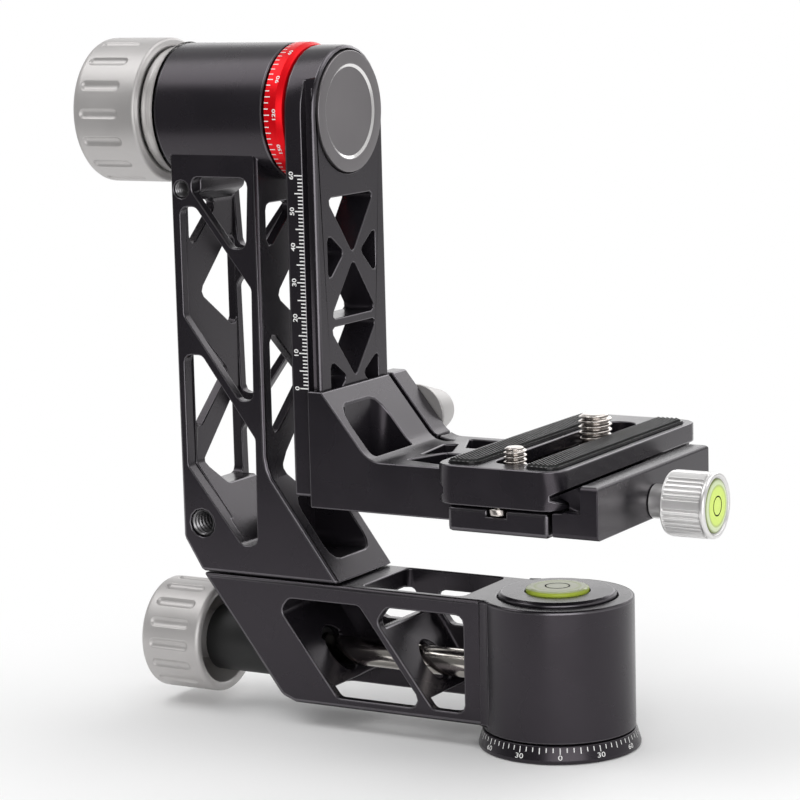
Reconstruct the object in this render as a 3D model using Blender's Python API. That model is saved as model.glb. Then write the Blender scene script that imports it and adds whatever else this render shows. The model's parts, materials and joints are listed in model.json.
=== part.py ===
"""Gimbal head for long lenses, as separate solids. Metres, +Z up, +X towards the clamp's knob.

The origin is on the pan axis, in the plane of the base's underside.
"""

import math

import bmesh
import bpy
from mathutils import Matrix, Vector

# Fits, and how finely round shapes are drawn
GAP = 0.0003
RUNNING = 0.0002
OVERRUN = 0.002
CHAMFER = 0.0008
WINDOW_RADIUS = 0.0024
CORNER_STEPS = 3
FEW_CORNER_STEPS = 2
ROUND_STEPS = 6
MATRIX_SIZE = 4
WIDE_STEPS = 48
TURN_STEPS = 32
HIDDEN_STEPS = 24
SMALL_STEPS = 12
REACH_SHARE = 0.48

# Base
RING_RADIUS = 0.0228
RING_TOP_RADIUS = 0.0216
RING_HEIGHT = 0.0048
RING_LIP = 0.0010
RING_FLOOR = 0.0021
INSERT_RADIUS = 0.0065
INSERT_BORE = 0.0040
INSERT_HEIGHT = 0.0085
FLANGE_RADIUS = 0.0150
PAN_SHAFT_RADIUS = 0.0090
PAN_SHAFT_TOP = 0.0357
BASE_SCREW_CIRCLE = 0.0112
BASE_SCREW_RADIUS = 0.0014
BASE_SCREW_HEAD_RADIUS = 0.0026
BASE_SCREW_HEAD = 0.0011
BASE_SCREWS = 3
FIRST_SCREW_SHARE = 0.25
WASHER_THICKNESS = 0.0009
RETAINER_RADIUS = 0.0120
RETAINER_THICKNESS = 0.0024
RETAINER_SOCKET = 0.0030

# Pan housing and its bearings
PAN_RADIUS = 0.02145
PAN_TOP = 0.0424
BEARING_RADIUS = 0.0140
BEARING_WIDTH = 0.0050
SHOULDER_RADIUS = 0.0126
UPPER_PAN_BEARING = 0.0300
CAP_RECESS_RADIUS = 0.0169
CAP_RECESS = 0.0015
CAP_HEIGHT = 0.0025
LEVEL_RADIUS = 0.0089
LEVEL_RECESS = 0.0016
LEVEL_RISE = 0.0012

# Lower arm. Side outlines are shares of its length and height, pockets of its length and half width
ARM_HALF_WIDTH = 0.0155
ARM_BOTTOM = 0.00645
ARM_LEFT = -0.1086
WALL = 0.0030
ARM_BLEND = 0.0060
ARM_FOOT_SHARES = ((0.302, 0.046), (0.353, 0.0))
FRONT_WINDOW_SHARES = ((0.308, 0.750), (0.340, 0.853), (0.608, 0.853), (0.848, 0.082), (0.520, 0.082))
INNER_WINDOW_SHARES = ((0.675, 0.739), (0.713, 0.861), (0.995, 0.861), (0.995, 0.088), (0.879, 0.088))
REAR_WINDOW_SHARES = ((0.485, 0.572), (0.523, 0.841), (0.627, 0.841), (0.667, 0.572))
REAR_INNER_WINDOW_SHARES = ((0.690, 0.841), (0.971, 0.841), (0.971, 0.572), (0.773, 0.572))
TOP_POCKET_SHARES = ((0.604, -0.806), (0.976, -0.806), (0.976, 0.884), (0.604, 0.884))
TOP_POCKET_DEPTH = 0.0114
BOTTOM_POCKET_SHARES = ((0.368, -0.806), (0.971, -0.806), (0.971, 0.813), (0.368, 0.813))
BOTTOM_POCKET_DEPTH = 0.00555
POCKET_RADIUS = 0.0020

# Pan brake
PAN_ROD_HEIGHT = 0.0196
PAN_ROD_RADIUS = 0.00405
PAN_PAD_RADIUS = 0.0050
PAN_PAD_LENGTH = 0.0047
SLEEVE_RADIUS = 0.0098
SLEEVE_END = -0.1120
SLEEVE_STEP = -0.0840
BUSH_RADIUS = 0.0060
BUSH_END = -0.0765
PAN_KNOB_RADIUS = 0.0165
PAN_KNOB_INNER_RADIUS = 0.0137
PAN_KNOB_OUTER = -0.1310
PAN_KNOB_RIM = -0.1105
PAN_KNOB_WEB = 0.0050
PAN_KNOB_HUB_RADIUS = 0.0070
PAN_KNOB_SLOTS = (-0.1277, -0.1141)

# Brake knobs
KNOB_SLOT_COUNT = 16
KNOB_SLOT_WIDTH = 0.0029
KNOB_SLOT_DEPTH = 0.0010
KNOB_ROUNDING = 0.0020
KNOB_ROUNDING_STEP = 0.0007
KNOB_CAP_RADIUS = 0.0080
KNOB_CAP_THICKNESS = 0.0014
KNOB_CAP_RISE = 0.0004

# Upright arm. Its outlines are shares of the column's width and height
UPRIGHT_LEFT = -0.1147
UPRIGHT_WIDTH = 0.0295
UPRIGHT_RIGHT = UPRIGHT_LEFT + UPRIGHT_WIDTH
UPRIGHT_HEIGHT = 0.1337
FOOT_LEFT_SHARE = (0.0, 0.075)
FOOT_RIGHT_SHARE = (1.797, 0.002)
FOOT_CURVE_SHARES = ((1.068, 0.219), (1.024, 0.240), (1.0, 0.266))
FOOT_RECESS_SHARES = ((0.990, 0.046), (1.854, 0.177))
FOOT_RECESS_RADIUS = 0.0040
FOOT_WALL = 0.0047
HOLLOW_SHARES = (
    (0.102, 0.238), (0.102, 0.805), (0.271, 0.831), (0.271, 0.868), (0.898, 0.868), (0.898, 0.068),
    (0.685, 0.068),
)
UPPER_WINDOW_SHARES = ((0.25, 0.834), (0.25, 0.864), (0.89, 0.864), (0.85, 0.714), (0.68, 0.714))
MIDDLE_WINDOW_SHARES = (
    (0.105, 0.564), (0.105, 0.800), (0.280, 0.800), (0.895, 0.628), (0.875, 0.386), (0.720, 0.386),
)
LOWER_WINDOW_SHARES = (
    (0.090, 0.235), (0.090, 0.479), (0.295, 0.479), (0.885, 0.304), (0.870, 0.068), (0.695, 0.068),
)
SIDE_WINDOW_SHARES = (
    ((0.145, 0.700), (0.145, 0.8085), (0.690, 0.8085)),
    ((0.290, 0.607), (0.903, 0.745), (0.903, 0.509)),
    ((0.145, 0.296), (0.145, 0.543), (0.742, 0.420)),
    ((0.242, 0.233), (0.903, 0.393), (0.903, 0.184), (0.403, 0.184)),
)
REAR_DROP_SHARE = 0.02
SIDE_WINDOW_END_SHARE = 1.261
SMALL_THREAD_SHARE = (0.125, 0.837)
SMALL_THREAD_RADIUS = 0.0026
SMALL_THREAD_DEPTH = 0.0100
LARGE_THREAD_SHARE = (0.234, 0.109)
LARGE_THREAD_RADIUS = 0.0042
LARGE_THREAD_DEPTH = 0.0120
FOOT_SCREW_SHARE = 1.447
FOOT_SCREW_INSET = 0.0045
FOOT_SCREW_RADIUS = 0.0019
FOOT_SCREW_HEAD_RADIUS = 0.0032
FOOT_SCREW_HEAD = 0.0030
FOOT_SCREW_REACH = 0.0046

# Tilt housing, bearings, shaft and brake
TILT_HEIGHT = PAN_TOP + UPRIGHT_HEIGHT
TILT_RADIUS = 0.0195
TILT_OUTER = -0.1169
TILT_INNER = -0.0802
TILT_SHOULDERS = (-0.0937, -0.0863)
TILT_SHAFT_RADIUS = 0.0080
TILT_SHAFT_END = -0.0999
TILT_FLANGE_RADIUS = 0.0120
COLLAR_OUTER = -0.1211
COLLAR_RADIUS = 0.0210
COLLAR_NECK = 0.0011
COLLAR_NECK_RADIUS = 0.0185
COLLAR_PLUG_END = -0.0994
TILT_PAD_LENGTH = 0.0043
TILT_STUD_RADIUS = 0.0040
TILT_KNOB_RADIUS = 0.0210
TILT_KNOB_OUTER = -0.1449
TILT_KNOB_RIM = -0.1225
TILT_KNOB_CHAMFER = 0.0010
TILT_KNOB_WALL = 0.0032
TILT_KNOB_SLOTS = (-0.1419, -0.1284)
TILT_KNOB_WEB = 0.0060
TILT_KNOB_HUB_RADIUS = 0.0085

# Angle ring and swing arm. A field is four windows, as shares of the arm's half width and its own height
ANGLE_RING_RADIUS = 0.01955
ANGLE_RING_CLEARANCE = 0.0007
ANGLE_RING_BACK = TILT_INNER + ANGLE_RING_CLEARANCE
ANGLE_RING_SCALE = 0.0045
ANGLE_RING_EDGE = 0.0013
ANGLE_RING_EDGE_RADIUS = 0.0190
SWING_BACK = ANGLE_RING_BACK + ANGLE_RING_SCALE + ANGLE_RING_EDGE
SWING_THICKNESS = 0.0101
SWING_FRONT = SWING_BACK + SWING_THICKNESS
SWING_HALF_WIDTH = 0.01875
SWING_CHAMFER = 0.0006
GROOVE_DEPTH = 0.0028
FIELD_RADIUS = 0.0012
FIELD_FOOT = 0.0159
FIELD_HEAD = 0.00615
FIELD_RANGE_SHARES = ((0.5, 1.0), (0.0, 0.465))
FIELD_DOWN_SHARES = ((-0.693, 1.0), (0.693, 1.0), (0.021, 0.515))
FIELD_LEFT_SHARES = ((-0.704, 0.713), (-0.704, 0.304), (-0.235, 0.532))
FIELD_RIGHT_SHARES = ((0.704, 0.702), (0.704, 0.298), (0.245, 0.529))
FIELD_UP_SHARES = ((0.021, 0.459), (0.661, 0.0), (-0.661, 0.0))
HUB_RECESS_RADIUS = 0.01745
HUB_CAP_RADIUS = 0.01715
HUB_CAP_THICKNESS = 0.0025
HUB_CAP_RISE = 0.0008
HUB_DISH_RADIUS = 0.0125
HUB_DISH_SLOPE = 0.0007
HUB_DISH = 0.0006
HUB_SCREW_CIRCLE = 0.0080
HUB_SCREW_RADIUS = 0.0016
HUB_SCREW_HEAD_RADIUS = 0.0029
HUB_SCREW_HEAD = 0.0028
HUB_SCREWS = 3

# L bracket and its split jaw. Plan outlines are shares of its length to the plate and of its full width
PLATFORM_CLEARANCE = 0.0231
BRACKET_BOTTOM = PAN_TOP + PLATFORM_CLEARANCE
BRACKET_HEIGHT = 0.0333
BRACKET_TOP = BRACKET_BOTTOM + BRACKET_HEIGHT
BRACKET_PLATE_HEIGHT = 0.0145
BRACKET_PLATE_TOP = BRACKET_BOTTOM + BRACKET_PLATE_HEIGHT
LIP_REACH = 0.0039
BRACKET_LEFT = SWING_FRONT - LIP_REACH
BRACKET_TOP_WIDTH = 0.0047
BRACKET_FOOT = 0.0198
SLOPE_FILLET = 0.0080
BRACKET_FRONT = -0.0204
BRACKET_SPLIT = 0.0174
BRACKET_SAW = 0.0021
BRACKET_REAR = 0.0275
JAW_LENGTH = 0.0193
JAW_SEAM = BRACKET_LEFT + JAW_LENGTH
LIP_WIDTH = 0.00255
SLOPE_POCKET_SHARES = ((0.165, 0.073), (0.403, 0.073), (0.403, 0.522), (0.165, 0.522))
SLOPE_POCKET_RADII = (0.0042, 0.0012, 0.0012, 0.0042)
SLOPE_POCKET_FLOOR = 0.0105
PLATE_POCKET_SHARES = (
    ((0.558, 0.332), (0.517, 0.708), (0.589, 0.739), (0.682, 0.489)),
    ((0.568, 0.165), (0.671, 0.447), (0.785, 0.447), (0.826, 0.102)),
    ((0.696, 0.639), (0.572, 0.919), (0.930, 0.919), (0.930, 0.639)),
)
PLATE_POCKET_FLOOR = 0.0025
SAW_END_SHARES = ((0.399, 0.785), (0.470, 0.800), (0.535, 0.860), (0.399, 0.850))
TONGUE_END = 0.0120
TONGUE_HALF = 0.0120
TONGUE_THICKNESS = 0.0027
CLAMP_BOLT_PLACE = (-0.0020, 0.0080)
CLAMP_BOLT_RADIUS = 0.0015
CLAMP_BOLT_HEAD_RADIUS = 0.0028
CLAMP_BOLT_HEAD = 0.0013
CLAMP_BOLT_COVER = 0.0009

# Height knob
HEIGHT_STUD_INSET = 0.0077
HEIGHT_STUD_RISE = 0.0198
HEIGHT_STUD = (BRACKET_LEFT + HEIGHT_STUD_INSET, BRACKET_BOTTOM + HEIGHT_STUD_RISE)
HEIGHT_STUD_RADIUS = 0.0020
HEIGHT_STUD_START = 0.0060
HEIGHT_KNOB_RADIUS = 0.0090
HEIGHT_KNOB_END_RADIUS = 0.0056
HEIGHT_KNOB_TAPER = 0.0125
HEIGHT_KNOB_TIP = 0.0024
HEIGHT_KNOB_TIP_RADIUS = 0.0035

# Clamp
CLAMP_LEFT = -0.0149
CLAMP_RIGHT = 0.0157
CLAMP_HALF = 0.0353
CLAMP_RISE = 0.0005
CLAMP_BOTTOM = BRACKET_BOTTOM + CLAMP_RISE
CLAMP_THICKNESS = 0.0071
CLAMP_TOP = CLAMP_BOTTOM + CLAMP_THICKNESS
CLAMP_AXIS_DEPTH = 0.0019
CLAMP_AXIS_HEIGHT = CLAMP_TOP - CLAMP_AXIS_DEPTH
CLAMP_STUD_RADIUS = 0.0019
CLAMP_STUD_START = -0.0100
CLAMP_STUD_END = 0.0440
CLAMP_JAW_OPENING = 0.0008
CLAMP_JAW_LEFT = CLAMP_RIGHT + CLAMP_JAW_OPENING
CLAMP_JAW_RIGHT = 0.0300
CLAMP_JAW_CLEARANCE = 0.0004
CLAMP_JAW_BOTTOM = CLAMP_BOTTOM + CLAMP_JAW_CLEARANCE
CLAMP_JAW_RISE = 0.0077
CLAMP_JAW_TOP = CLAMP_TOP + CLAMP_JAW_RISE
CLAMP_JAW_TOP_WIDTH = 0.0051
CLAMP_JAW_ENDS = (-0.0350, 0.0365)
CLAMP_JAW_CORNER = 0.0015
JAW_LIP_HALF = 0.0310
PIN_PLACE = 0.0220
PIN_DEPTH = 0.0036
PIN_RADIUS = 0.0016
PIN_ENDS = (-0.0080, 0.0270)
CLAMP_KNOB_RADIUS = 0.00906
CLAMP_KNOB_NECK_RADIUS = 0.0047
CLAMP_KNOB_NECK = 0.0053
CLAMP_KNOB_START = CLAMP_JAW_RIGHT + CLAMP_KNOB_NECK
CLAMP_KNOB_LENGTH = 0.0133
CLAMP_KNOB_END = CLAMP_KNOB_START + CLAMP_KNOB_LENGTH
CLAMP_KNOB_EDGE = 0.0004
CLAMP_KNOB_RIMS = (0.0010, 0.0013)
CLAMP_KNOB_GROUPS = 6
CLAMP_KNOB_GROOVES = 5
CLAMP_KNOB_GROOVE_WIDTH = 0.0008
CLAMP_KNOB_GROOVE_DEPTH = 0.0006
GROOVE_PITCH_SHARE = 0.163
CLAMP_LEVEL_RADIUS = 0.0075
CLAMP_LEVEL_THICKNESS = 0.0016

# Quick-release plate, its pads, pins and camera screws
PLATE_HALF_WIDTH = 0.0191
PLATE_FRONT = -0.0360
PLATE_REAR = 0.0550
PLATE_SEAT = 0.00035
PLATE_BOTTOM = CLAMP_TOP + PLATE_SEAT
PLATE_THICKNESS = 0.01075
PLATE_TOP = PLATE_BOTTOM + PLATE_THICKNESS
PLATE_CORNER = 0.0060
NOTCH_RISE = 0.00175
NOTCH_WIDTH = 0.0037
NOTCH_SLANT = 0.0013
NOTCH_MOUTH = (PLATE_BOTTOM + NOTCH_RISE, PLATE_BOTTOM + NOTCH_RISE + NOTCH_WIDTH)
NOTCH_FLOOR = (NOTCH_MOUTH[0] + NOTCH_SLANT, NOTCH_MOUTH[1] - NOTCH_SLANT)
NOTCH_DEPTH = 0.0030
SLOT_HALF = 0.0051
SLOT_ENDS = (-0.0288, 0.0450)
CHANNEL_HALF = 0.0080
CHANNEL_ENDS = (-0.0317, 0.0475)
CHANNEL_DEPTH = 0.00705
CHANNEL_TOP = PLATE_BOTTOM + CHANNEL_DEPTH
PAD_SIDES = (0.0070, 0.0165)
PAD_ENDS = (-0.0330, 0.0510)
PAD_RISE = 0.0012
PAD_DEPTH = 0.0003
PAD_CORNER = 0.0030
STOP_PINS = (-0.0340, 0.0512)
STOP_PIN_RADIUS = 0.0024
STOP_PIN_REACH = 0.00225
STOP_PIN_ROOM = 0.0004
STOP_PIN_CLEARANCE = 0.0005
STOP_PIN_SHANK_RADIUS = 0.0012
STOP_PIN_SHANK = 0.0050
CLIP_THICKNESS = 0.0010
CLIP_HALF = 0.0076
SCREW_HEAD_TOP = CHANNEL_TOP - CLIP_THICKNESS - 2 * GAP
SCREW_HEAD_THICKNESS = 0.0039
SMALL_SCREW_PLACE = -0.0237
SMALL_SCREW_RADIUS = 0.003175
SMALL_SCREW_HEAD_RADIUS = 0.0062
SMALL_SCREW_RISE = 0.0039
LARGE_SCREW_PLACE = 0.0252
LARGE_SCREW_RADIUS = 0.0047625
LARGE_SCREW_HEAD_RADIUS = 0.0074
LARGE_SCREW_RISE = 0.0055
SCREW_TIP = 0.0005

# Colour, roughness and metallic value of each finish
FINISHES = {
    "black": ((0.018, 0.018, 0.021, 1.0), 0.42, 0.55),
    "dark": ((0.012, 0.012, 0.013, 1.0), 0.60, 0.20),
    "silver": ((0.52, 0.51, 0.50, 1.0), 0.36, 0.90),
    "grey": ((0.20, 0.20, 0.21, 1.0), 0.45, 0.70),
    "red": ((0.60, 0.012, 0.015, 1.0), 0.38, 0.50),
    "chrome": ((0.80, 0.79, 0.78, 1.0), 0.12, 1.00),
    "steel": ((0.56, 0.55, 0.54, 1.0), 0.30, 1.00),
    "brass": ((0.62, 0.44, 0.18, 1.0), 0.35, 1.00),
    "rubber": ((0.014, 0.014, 0.014, 1.0), 0.85, 0.00),
    "level": ((0.66, 0.80, 0.16, 1.0), 0.15, 0.00),
}


def clear_scene():
    for obj in list(bpy.data.objects):
        bpy.data.objects.remove(obj, do_unlink=True)


def spot(first, second, along, axis):
    """A point from its two places in the outline's plane and its place along the axis."""
    if axis == "x":
        return (along, first, second)
    if axis == "y":
        return (first, along, second)
    return (first, second, along)


def between(share, low, high):
    return low + share * (high - low)


def make_object(name, mesh):
    bmesh.ops.recalc_face_normals(mesh, faces=mesh.faces)
    data = bpy.data.meshes.new(name)
    mesh.to_mesh(data)
    mesh.free()
    obj = bpy.data.objects.new(name, data)
    bpy.context.scene.collection.objects.link(obj)
    return obj


def finish(obj, kind):
    colour, roughness, metallic = FINISHES[kind]
    material = bpy.data.materials.new(obj.name)
    material.use_nodes = True
    shader = material.node_tree.nodes["Principled BSDF"]
    shader.inputs["Base Color"].default_value = colour
    shader.inputs["Roughness"].default_value = roughness
    shader.inputs["Metallic"].default_value = metallic
    obj.data.materials.append(material)
    return obj


def rounded(corners, radius, steps=CORNER_STEPS):
    """The outline with each corner as an arc of this radius, or as large an arc as its sides allow.

    A tuple of radii has one for each corner, and zero leaves a corner sharp.
    """
    outline = []
    for i, corner in enumerate(corners):
        wanted = radius[i] if isinstance(radius, tuple) else radius
        if wanted == 0:
            outline.append(corner)
            continue
        here = Vector(corner)
        before = Vector(corners[i - 1]) - here
        after = Vector(corners[(i + 1) % len(corners)]) - here
        half = before.angle(after) / 2
        reach = min(wanted / math.tan(half), REACH_SHARE * before.length, REACH_SHARE * after.length)
        size = reach * math.tan(half)
        middle = (before.normalized() + after.normalized()).normalized()
        centre = here + middle * size / math.sin(half)
        start = here + before.normalized() * reach - centre
        end = here + after.normalized() * reach - centre
        first = math.atan2(start.y, start.x)
        turn = (math.atan2(end.y, end.x) - first + math.pi) % math.tau - math.pi
        for step in range(steps + 1):
            angle = first + turn * step / steps
            outline.append((centre.x + size * math.cos(angle), centre.y + size * math.sin(angle)))
    return outline


def box_outline(low_a, high_a, low_b, high_b):
    return [(low_a, low_b), (high_a, low_b), (high_a, high_b), (low_a, high_b)]


def add_prism(mesh, outline, axis, low, high, turn=None):
    ends = []
    for along in (low, high):
        points = [Vector(spot(a, b, along, axis)) for a, b in outline]
        ends.append([mesh.verts.new(turn @ point if turn else point) for point in points])
    mesh.faces.new(ends[0])
    mesh.faces.new(ends[1])
    for i in range(len(outline)):
        j = (i + 1) % len(outline)
        mesh.faces.new((ends[0][i], ends[0][j], ends[1][j], ends[1][i]))


def prisms(name, outlines, axis, low, high):
    """One mesh of straight blocks that stand apart, one for each outline."""
    mesh = bmesh.new()
    for outline in outlines:
        add_prism(mesh, outline, axis, low, high)
    return make_object(name, mesh)


def prism(name, outline, axis, low, high):
    return prisms(name, [outline], axis, low, high)


def add_lathe(mesh, profile, axis, centre, steps):
    rings = []
    for radius, along in profile:
        if radius == 0:
            rings.append([mesh.verts.new(spot(centre[0], centre[1], along, axis))])
            continue
        angles = [math.tau * step / steps for step in range(steps)]
        rings.append([
            mesh.verts.new(spot(
                centre[0] + radius * math.cos(angle), centre[1] + radius * math.sin(angle), along, axis
            ))
            for angle in angles
        ])
    for i, ring in enumerate(rings):
        other = rings[(i + 1) % len(rings)]
        for step in range(steps):
            after = (step + 1) % steps
            if len(ring) > 1 and len(other) > 1:
                mesh.faces.new((ring[step], ring[after], other[after], other[step]))
            elif len(ring) > 1:
                mesh.faces.new((ring[step], ring[after], other[0]))
            elif len(other) > 1:
                mesh.faces.new((ring[0], other[after], other[step]))


def lathe(name, profile, axis, centre=(0, 0), steps=TURN_STEPS):
    """A turned solid: (radius, along) points about the axis, at this centre in the outline's plane."""
    mesh = bmesh.new()
    add_lathe(mesh, profile, axis, centre, steps)
    return make_object(name, mesh)


def lathes(name, profile, axis, centres, steps=SMALL_STEPS):
    """One mesh of turned shapes that stand apart, one at each centre."""
    mesh = bmesh.new()
    for centre in centres:
        add_lathe(mesh, profile, axis, centre, steps)
    return make_object(name, mesh)


def rod_profile(radius, low, high):
    return [(0, low), (radius, low), (radius, high), (0, high)]


def tube_profile(inner, outer, low, high):
    return [(inner, low), (outer, low), (outer, high), (inner, high)]


def rod(name, radius, axis, low, high, centre=(0, 0), steps=TURN_STEPS):
    return lathe(name, rod_profile(radius, low, high), axis, centre, steps)


def use_boolean(target, tool, operation):
    modifier = target.modifiers.new(tool.name, "BOOLEAN")
    modifier.operation = operation
    modifier.solver = "EXACT"
    modifier.object = tool
    tool.hide_render = True
    tool.display_type = "WIRE"


def cut(target, *tools):
    for tool in tools:
        use_boolean(target, tool, "DIFFERENCE")


def join(target, *tools):
    for tool in tools:
        use_boolean(target, tool, "UNION")


def chamfer(obj, width):
    modifier = obj.modifiers.new("edges", "BEVEL")
    modifier.width = width
    modifier.segments = 1
    modifier.limit_method = "ANGLE"


def ring_of_places(radius, count):
    angles = [math.tau * (i + FIRST_SCREW_SHARE) / count for i in range(count)]
    return [(radius * math.cos(angle), radius * math.sin(angle)) for angle in angles]


def knob_slots(name, radius, ends, height):
    """Stadium-ended slots round a knob that turns about an X axis at this height."""
    middle = sum(ends) / 2
    half = KNOB_SLOT_WIDTH / 2
    corners = box_outline(ends[0] - middle, ends[1] - middle, -half, half)
    outline = rounded(corners, half, FEW_CORNER_STEPS)
    mesh = bmesh.new()
    for i in range(KNOB_SLOT_COUNT):
        spin = Matrix.Rotation(math.tau * i / KNOB_SLOT_COUNT, MATRIX_SIZE, "X")
        place = Matrix.Translation((middle, 0, height)) @ spin
        add_prism(mesh, outline, "z", radius - KNOB_SLOT_DEPTH, radius + OVERRUN, place)
    return make_object(name, mesh)


# Base

def make_base():
    recess_radius = FLANGE_RADIUS + GAP
    flange_bottom = RING_FLOOR + GAP
    insert_hole = INSERT_RADIUS + GAP
    ring = finish(lathe("degree_ring", [
        (insert_hole, 0), (RING_RADIUS, 0), (RING_RADIUS, RING_LIP), (RING_TOP_RADIUS, RING_HEIGHT),
        (recess_radius, RING_HEIGHT), (recess_radius, RING_FLOOR), (insert_hole, RING_FLOOR),
    ], "z", steps=WIDE_STEPS), "black")
    insert = finish(lathe("tripod_insert", tube_profile(INSERT_BORE, INSERT_RADIUS, 0, INSERT_HEIGHT), "z",
                          steps=HIDDEN_STEPS), "steel")
    insert_top = INSERT_HEIGHT + GAP
    spindle = finish(lathe("pan_spindle", [
        (insert_hole, flange_bottom), (FLANGE_RADIUS, flange_bottom), (FLANGE_RADIUS, RING_HEIGHT),
        (PAN_SHAFT_RADIUS, RING_HEIGHT), (PAN_SHAFT_RADIUS, PAN_SHAFT_TOP), (0, PAN_SHAFT_TOP),
        (0, insert_top), (insert_hole, insert_top),
    ], "z", steps=HIDDEN_STEPS), "steel")
    head_low = GAP
    head_high = head_low + BASE_SCREW_HEAD
    shank_top = RING_HEIGHT - GAP
    pieces = [ring, insert, spindle]
    for i, place in enumerate(ring_of_places(BASE_SCREW_CIRCLE, BASE_SCREWS), 1):
        screw = lathe(f"base_screw_{i}", [
            (0, head_low), (BASE_SCREW_HEAD_RADIUS, head_low), (BASE_SCREW_HEAD_RADIUS, head_high),
            (BASE_SCREW_RADIUS, head_high), (BASE_SCREW_RADIUS, shank_top), (0, shank_top),
        ], "z", place, SMALL_STEPS)
        hole = lathe(f"base_screw_hole_{i}", [
            (0, -OVERRUN), (BASE_SCREW_HEAD_RADIUS + GAP, -OVERRUN),
            (BASE_SCREW_HEAD_RADIUS + GAP, head_high + GAP), (BASE_SCREW_RADIUS + GAP, head_high + GAP),
            (BASE_SCREW_RADIUS + GAP, RING_HEIGHT + OVERRUN), (0, RING_HEIGHT + OVERRUN),
        ], "z", place, SMALL_STEPS)
        cut(ring, hole)
        cut(spindle, hole)
        pieces.append(finish(screw, "steel"))
    washer_low = RING_HEIGHT + GAP
    washer = lathe("pan_thrust_washer", tube_profile(
        PAN_SHAFT_RADIUS + RUNNING, BEARING_RADIUS, washer_low, washer_low + WASHER_THICKNESS
    ), "z", steps=HIDDEN_STEPS)
    retainer_low = PAN_SHAFT_TOP + GAP
    retainer = rod("spindle_retainer", RETAINER_RADIUS, "z", retainer_low, retainer_low + RETAINER_THICKNESS,
                   steps=HIDDEN_STEPS)
    socket = rod("retainer_socket", RETAINER_SOCKET, "z", retainer_low + RETAINER_THICKNESS / 2,
                 retainer_low + RETAINER_THICKNESS + OVERRUN, steps=ROUND_STEPS)
    cut(retainer, socket)
    return pieces + [finish(washer, "brass"), finish(retainer, "steel")]


# Frame: lower arm, upright arm and what is fixed in them

def pan_bore():
    wide = BEARING_RADIUS + GAP
    lower_shoulder = lower_bearing_low() + BEARING_WIDTH + GAP
    upper_shoulder = UPPER_PAN_BEARING - GAP
    recess = PAN_TOP - CAP_RECESS
    return lathe("pan_bore", [
        (0, -OVERRUN), (wide, -OVERRUN), (wide, lower_shoulder), (SHOULDER_RADIUS, lower_shoulder),
        (SHOULDER_RADIUS, upper_shoulder), (wide, upper_shoulder), (wide, recess),
        (CAP_RECESS_RADIUS, recess), (CAP_RECESS_RADIUS, PAN_TOP + OVERRUN), (0, PAN_TOP + OVERRUN),
    ], "z")


def lower_bearing_low():
    return RING_HEIGHT + GAP + WASHER_THICKNESS + GAP


def top_pocket_floor():
    return PAN_TOP - TOP_POCKET_DEPTH


def in_arm(share):
    return (between(share[0], ARM_LEFT, -PAN_RADIUS), between(share[1], ARM_BOTTOM, PAN_TOP))


def arm_windows(name, windows, low, high):
    return prisms(name, [
        rounded([in_arm(share) for share in window], WINDOW_RADIUS) for window in windows
    ], "y", low, high)


def arm_pocket(name, shares, low, high):
    corners = [(between(along, ARM_LEFT, -PAN_RADIUS), across * ARM_HALF_WIDTH) for along, across in shares]
    return prism(name, rounded(corners, POCKET_RADIUS), "z", low, high)


def housing_blends():
    """Fills the two corners between the arm's sides and the round housing with tangent arcs, in plan."""
    reach = PAN_RADIUS + ARM_BLEND
    across = ARM_HALF_WIDTH + ARM_BLEND
    along = -math.sqrt(reach ** 2 - across ** 2)
    whole_turn = math.atan2(-along, across)
    arc = []
    for i in range(ROUND_STEPS + 1):
        turn = whole_turn * i / ROUND_STEPS
        arc.append((along + ARM_BLEND * math.sin(turn), across - ARM_BLEND * math.cos(turn)))
    blends = []
    for name, side in (("front", -1), ("rear", 1)):
        outline = [(0, 0), *((x, side * y) for x, y in arc)]
        blend = prism(f"housing_blend_{name}", outline, "z", ARM_BOTTOM, PAN_TOP)
        chamfer(blend, CHAMFER / 2)
        blends.append(blend)
    return blends


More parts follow.
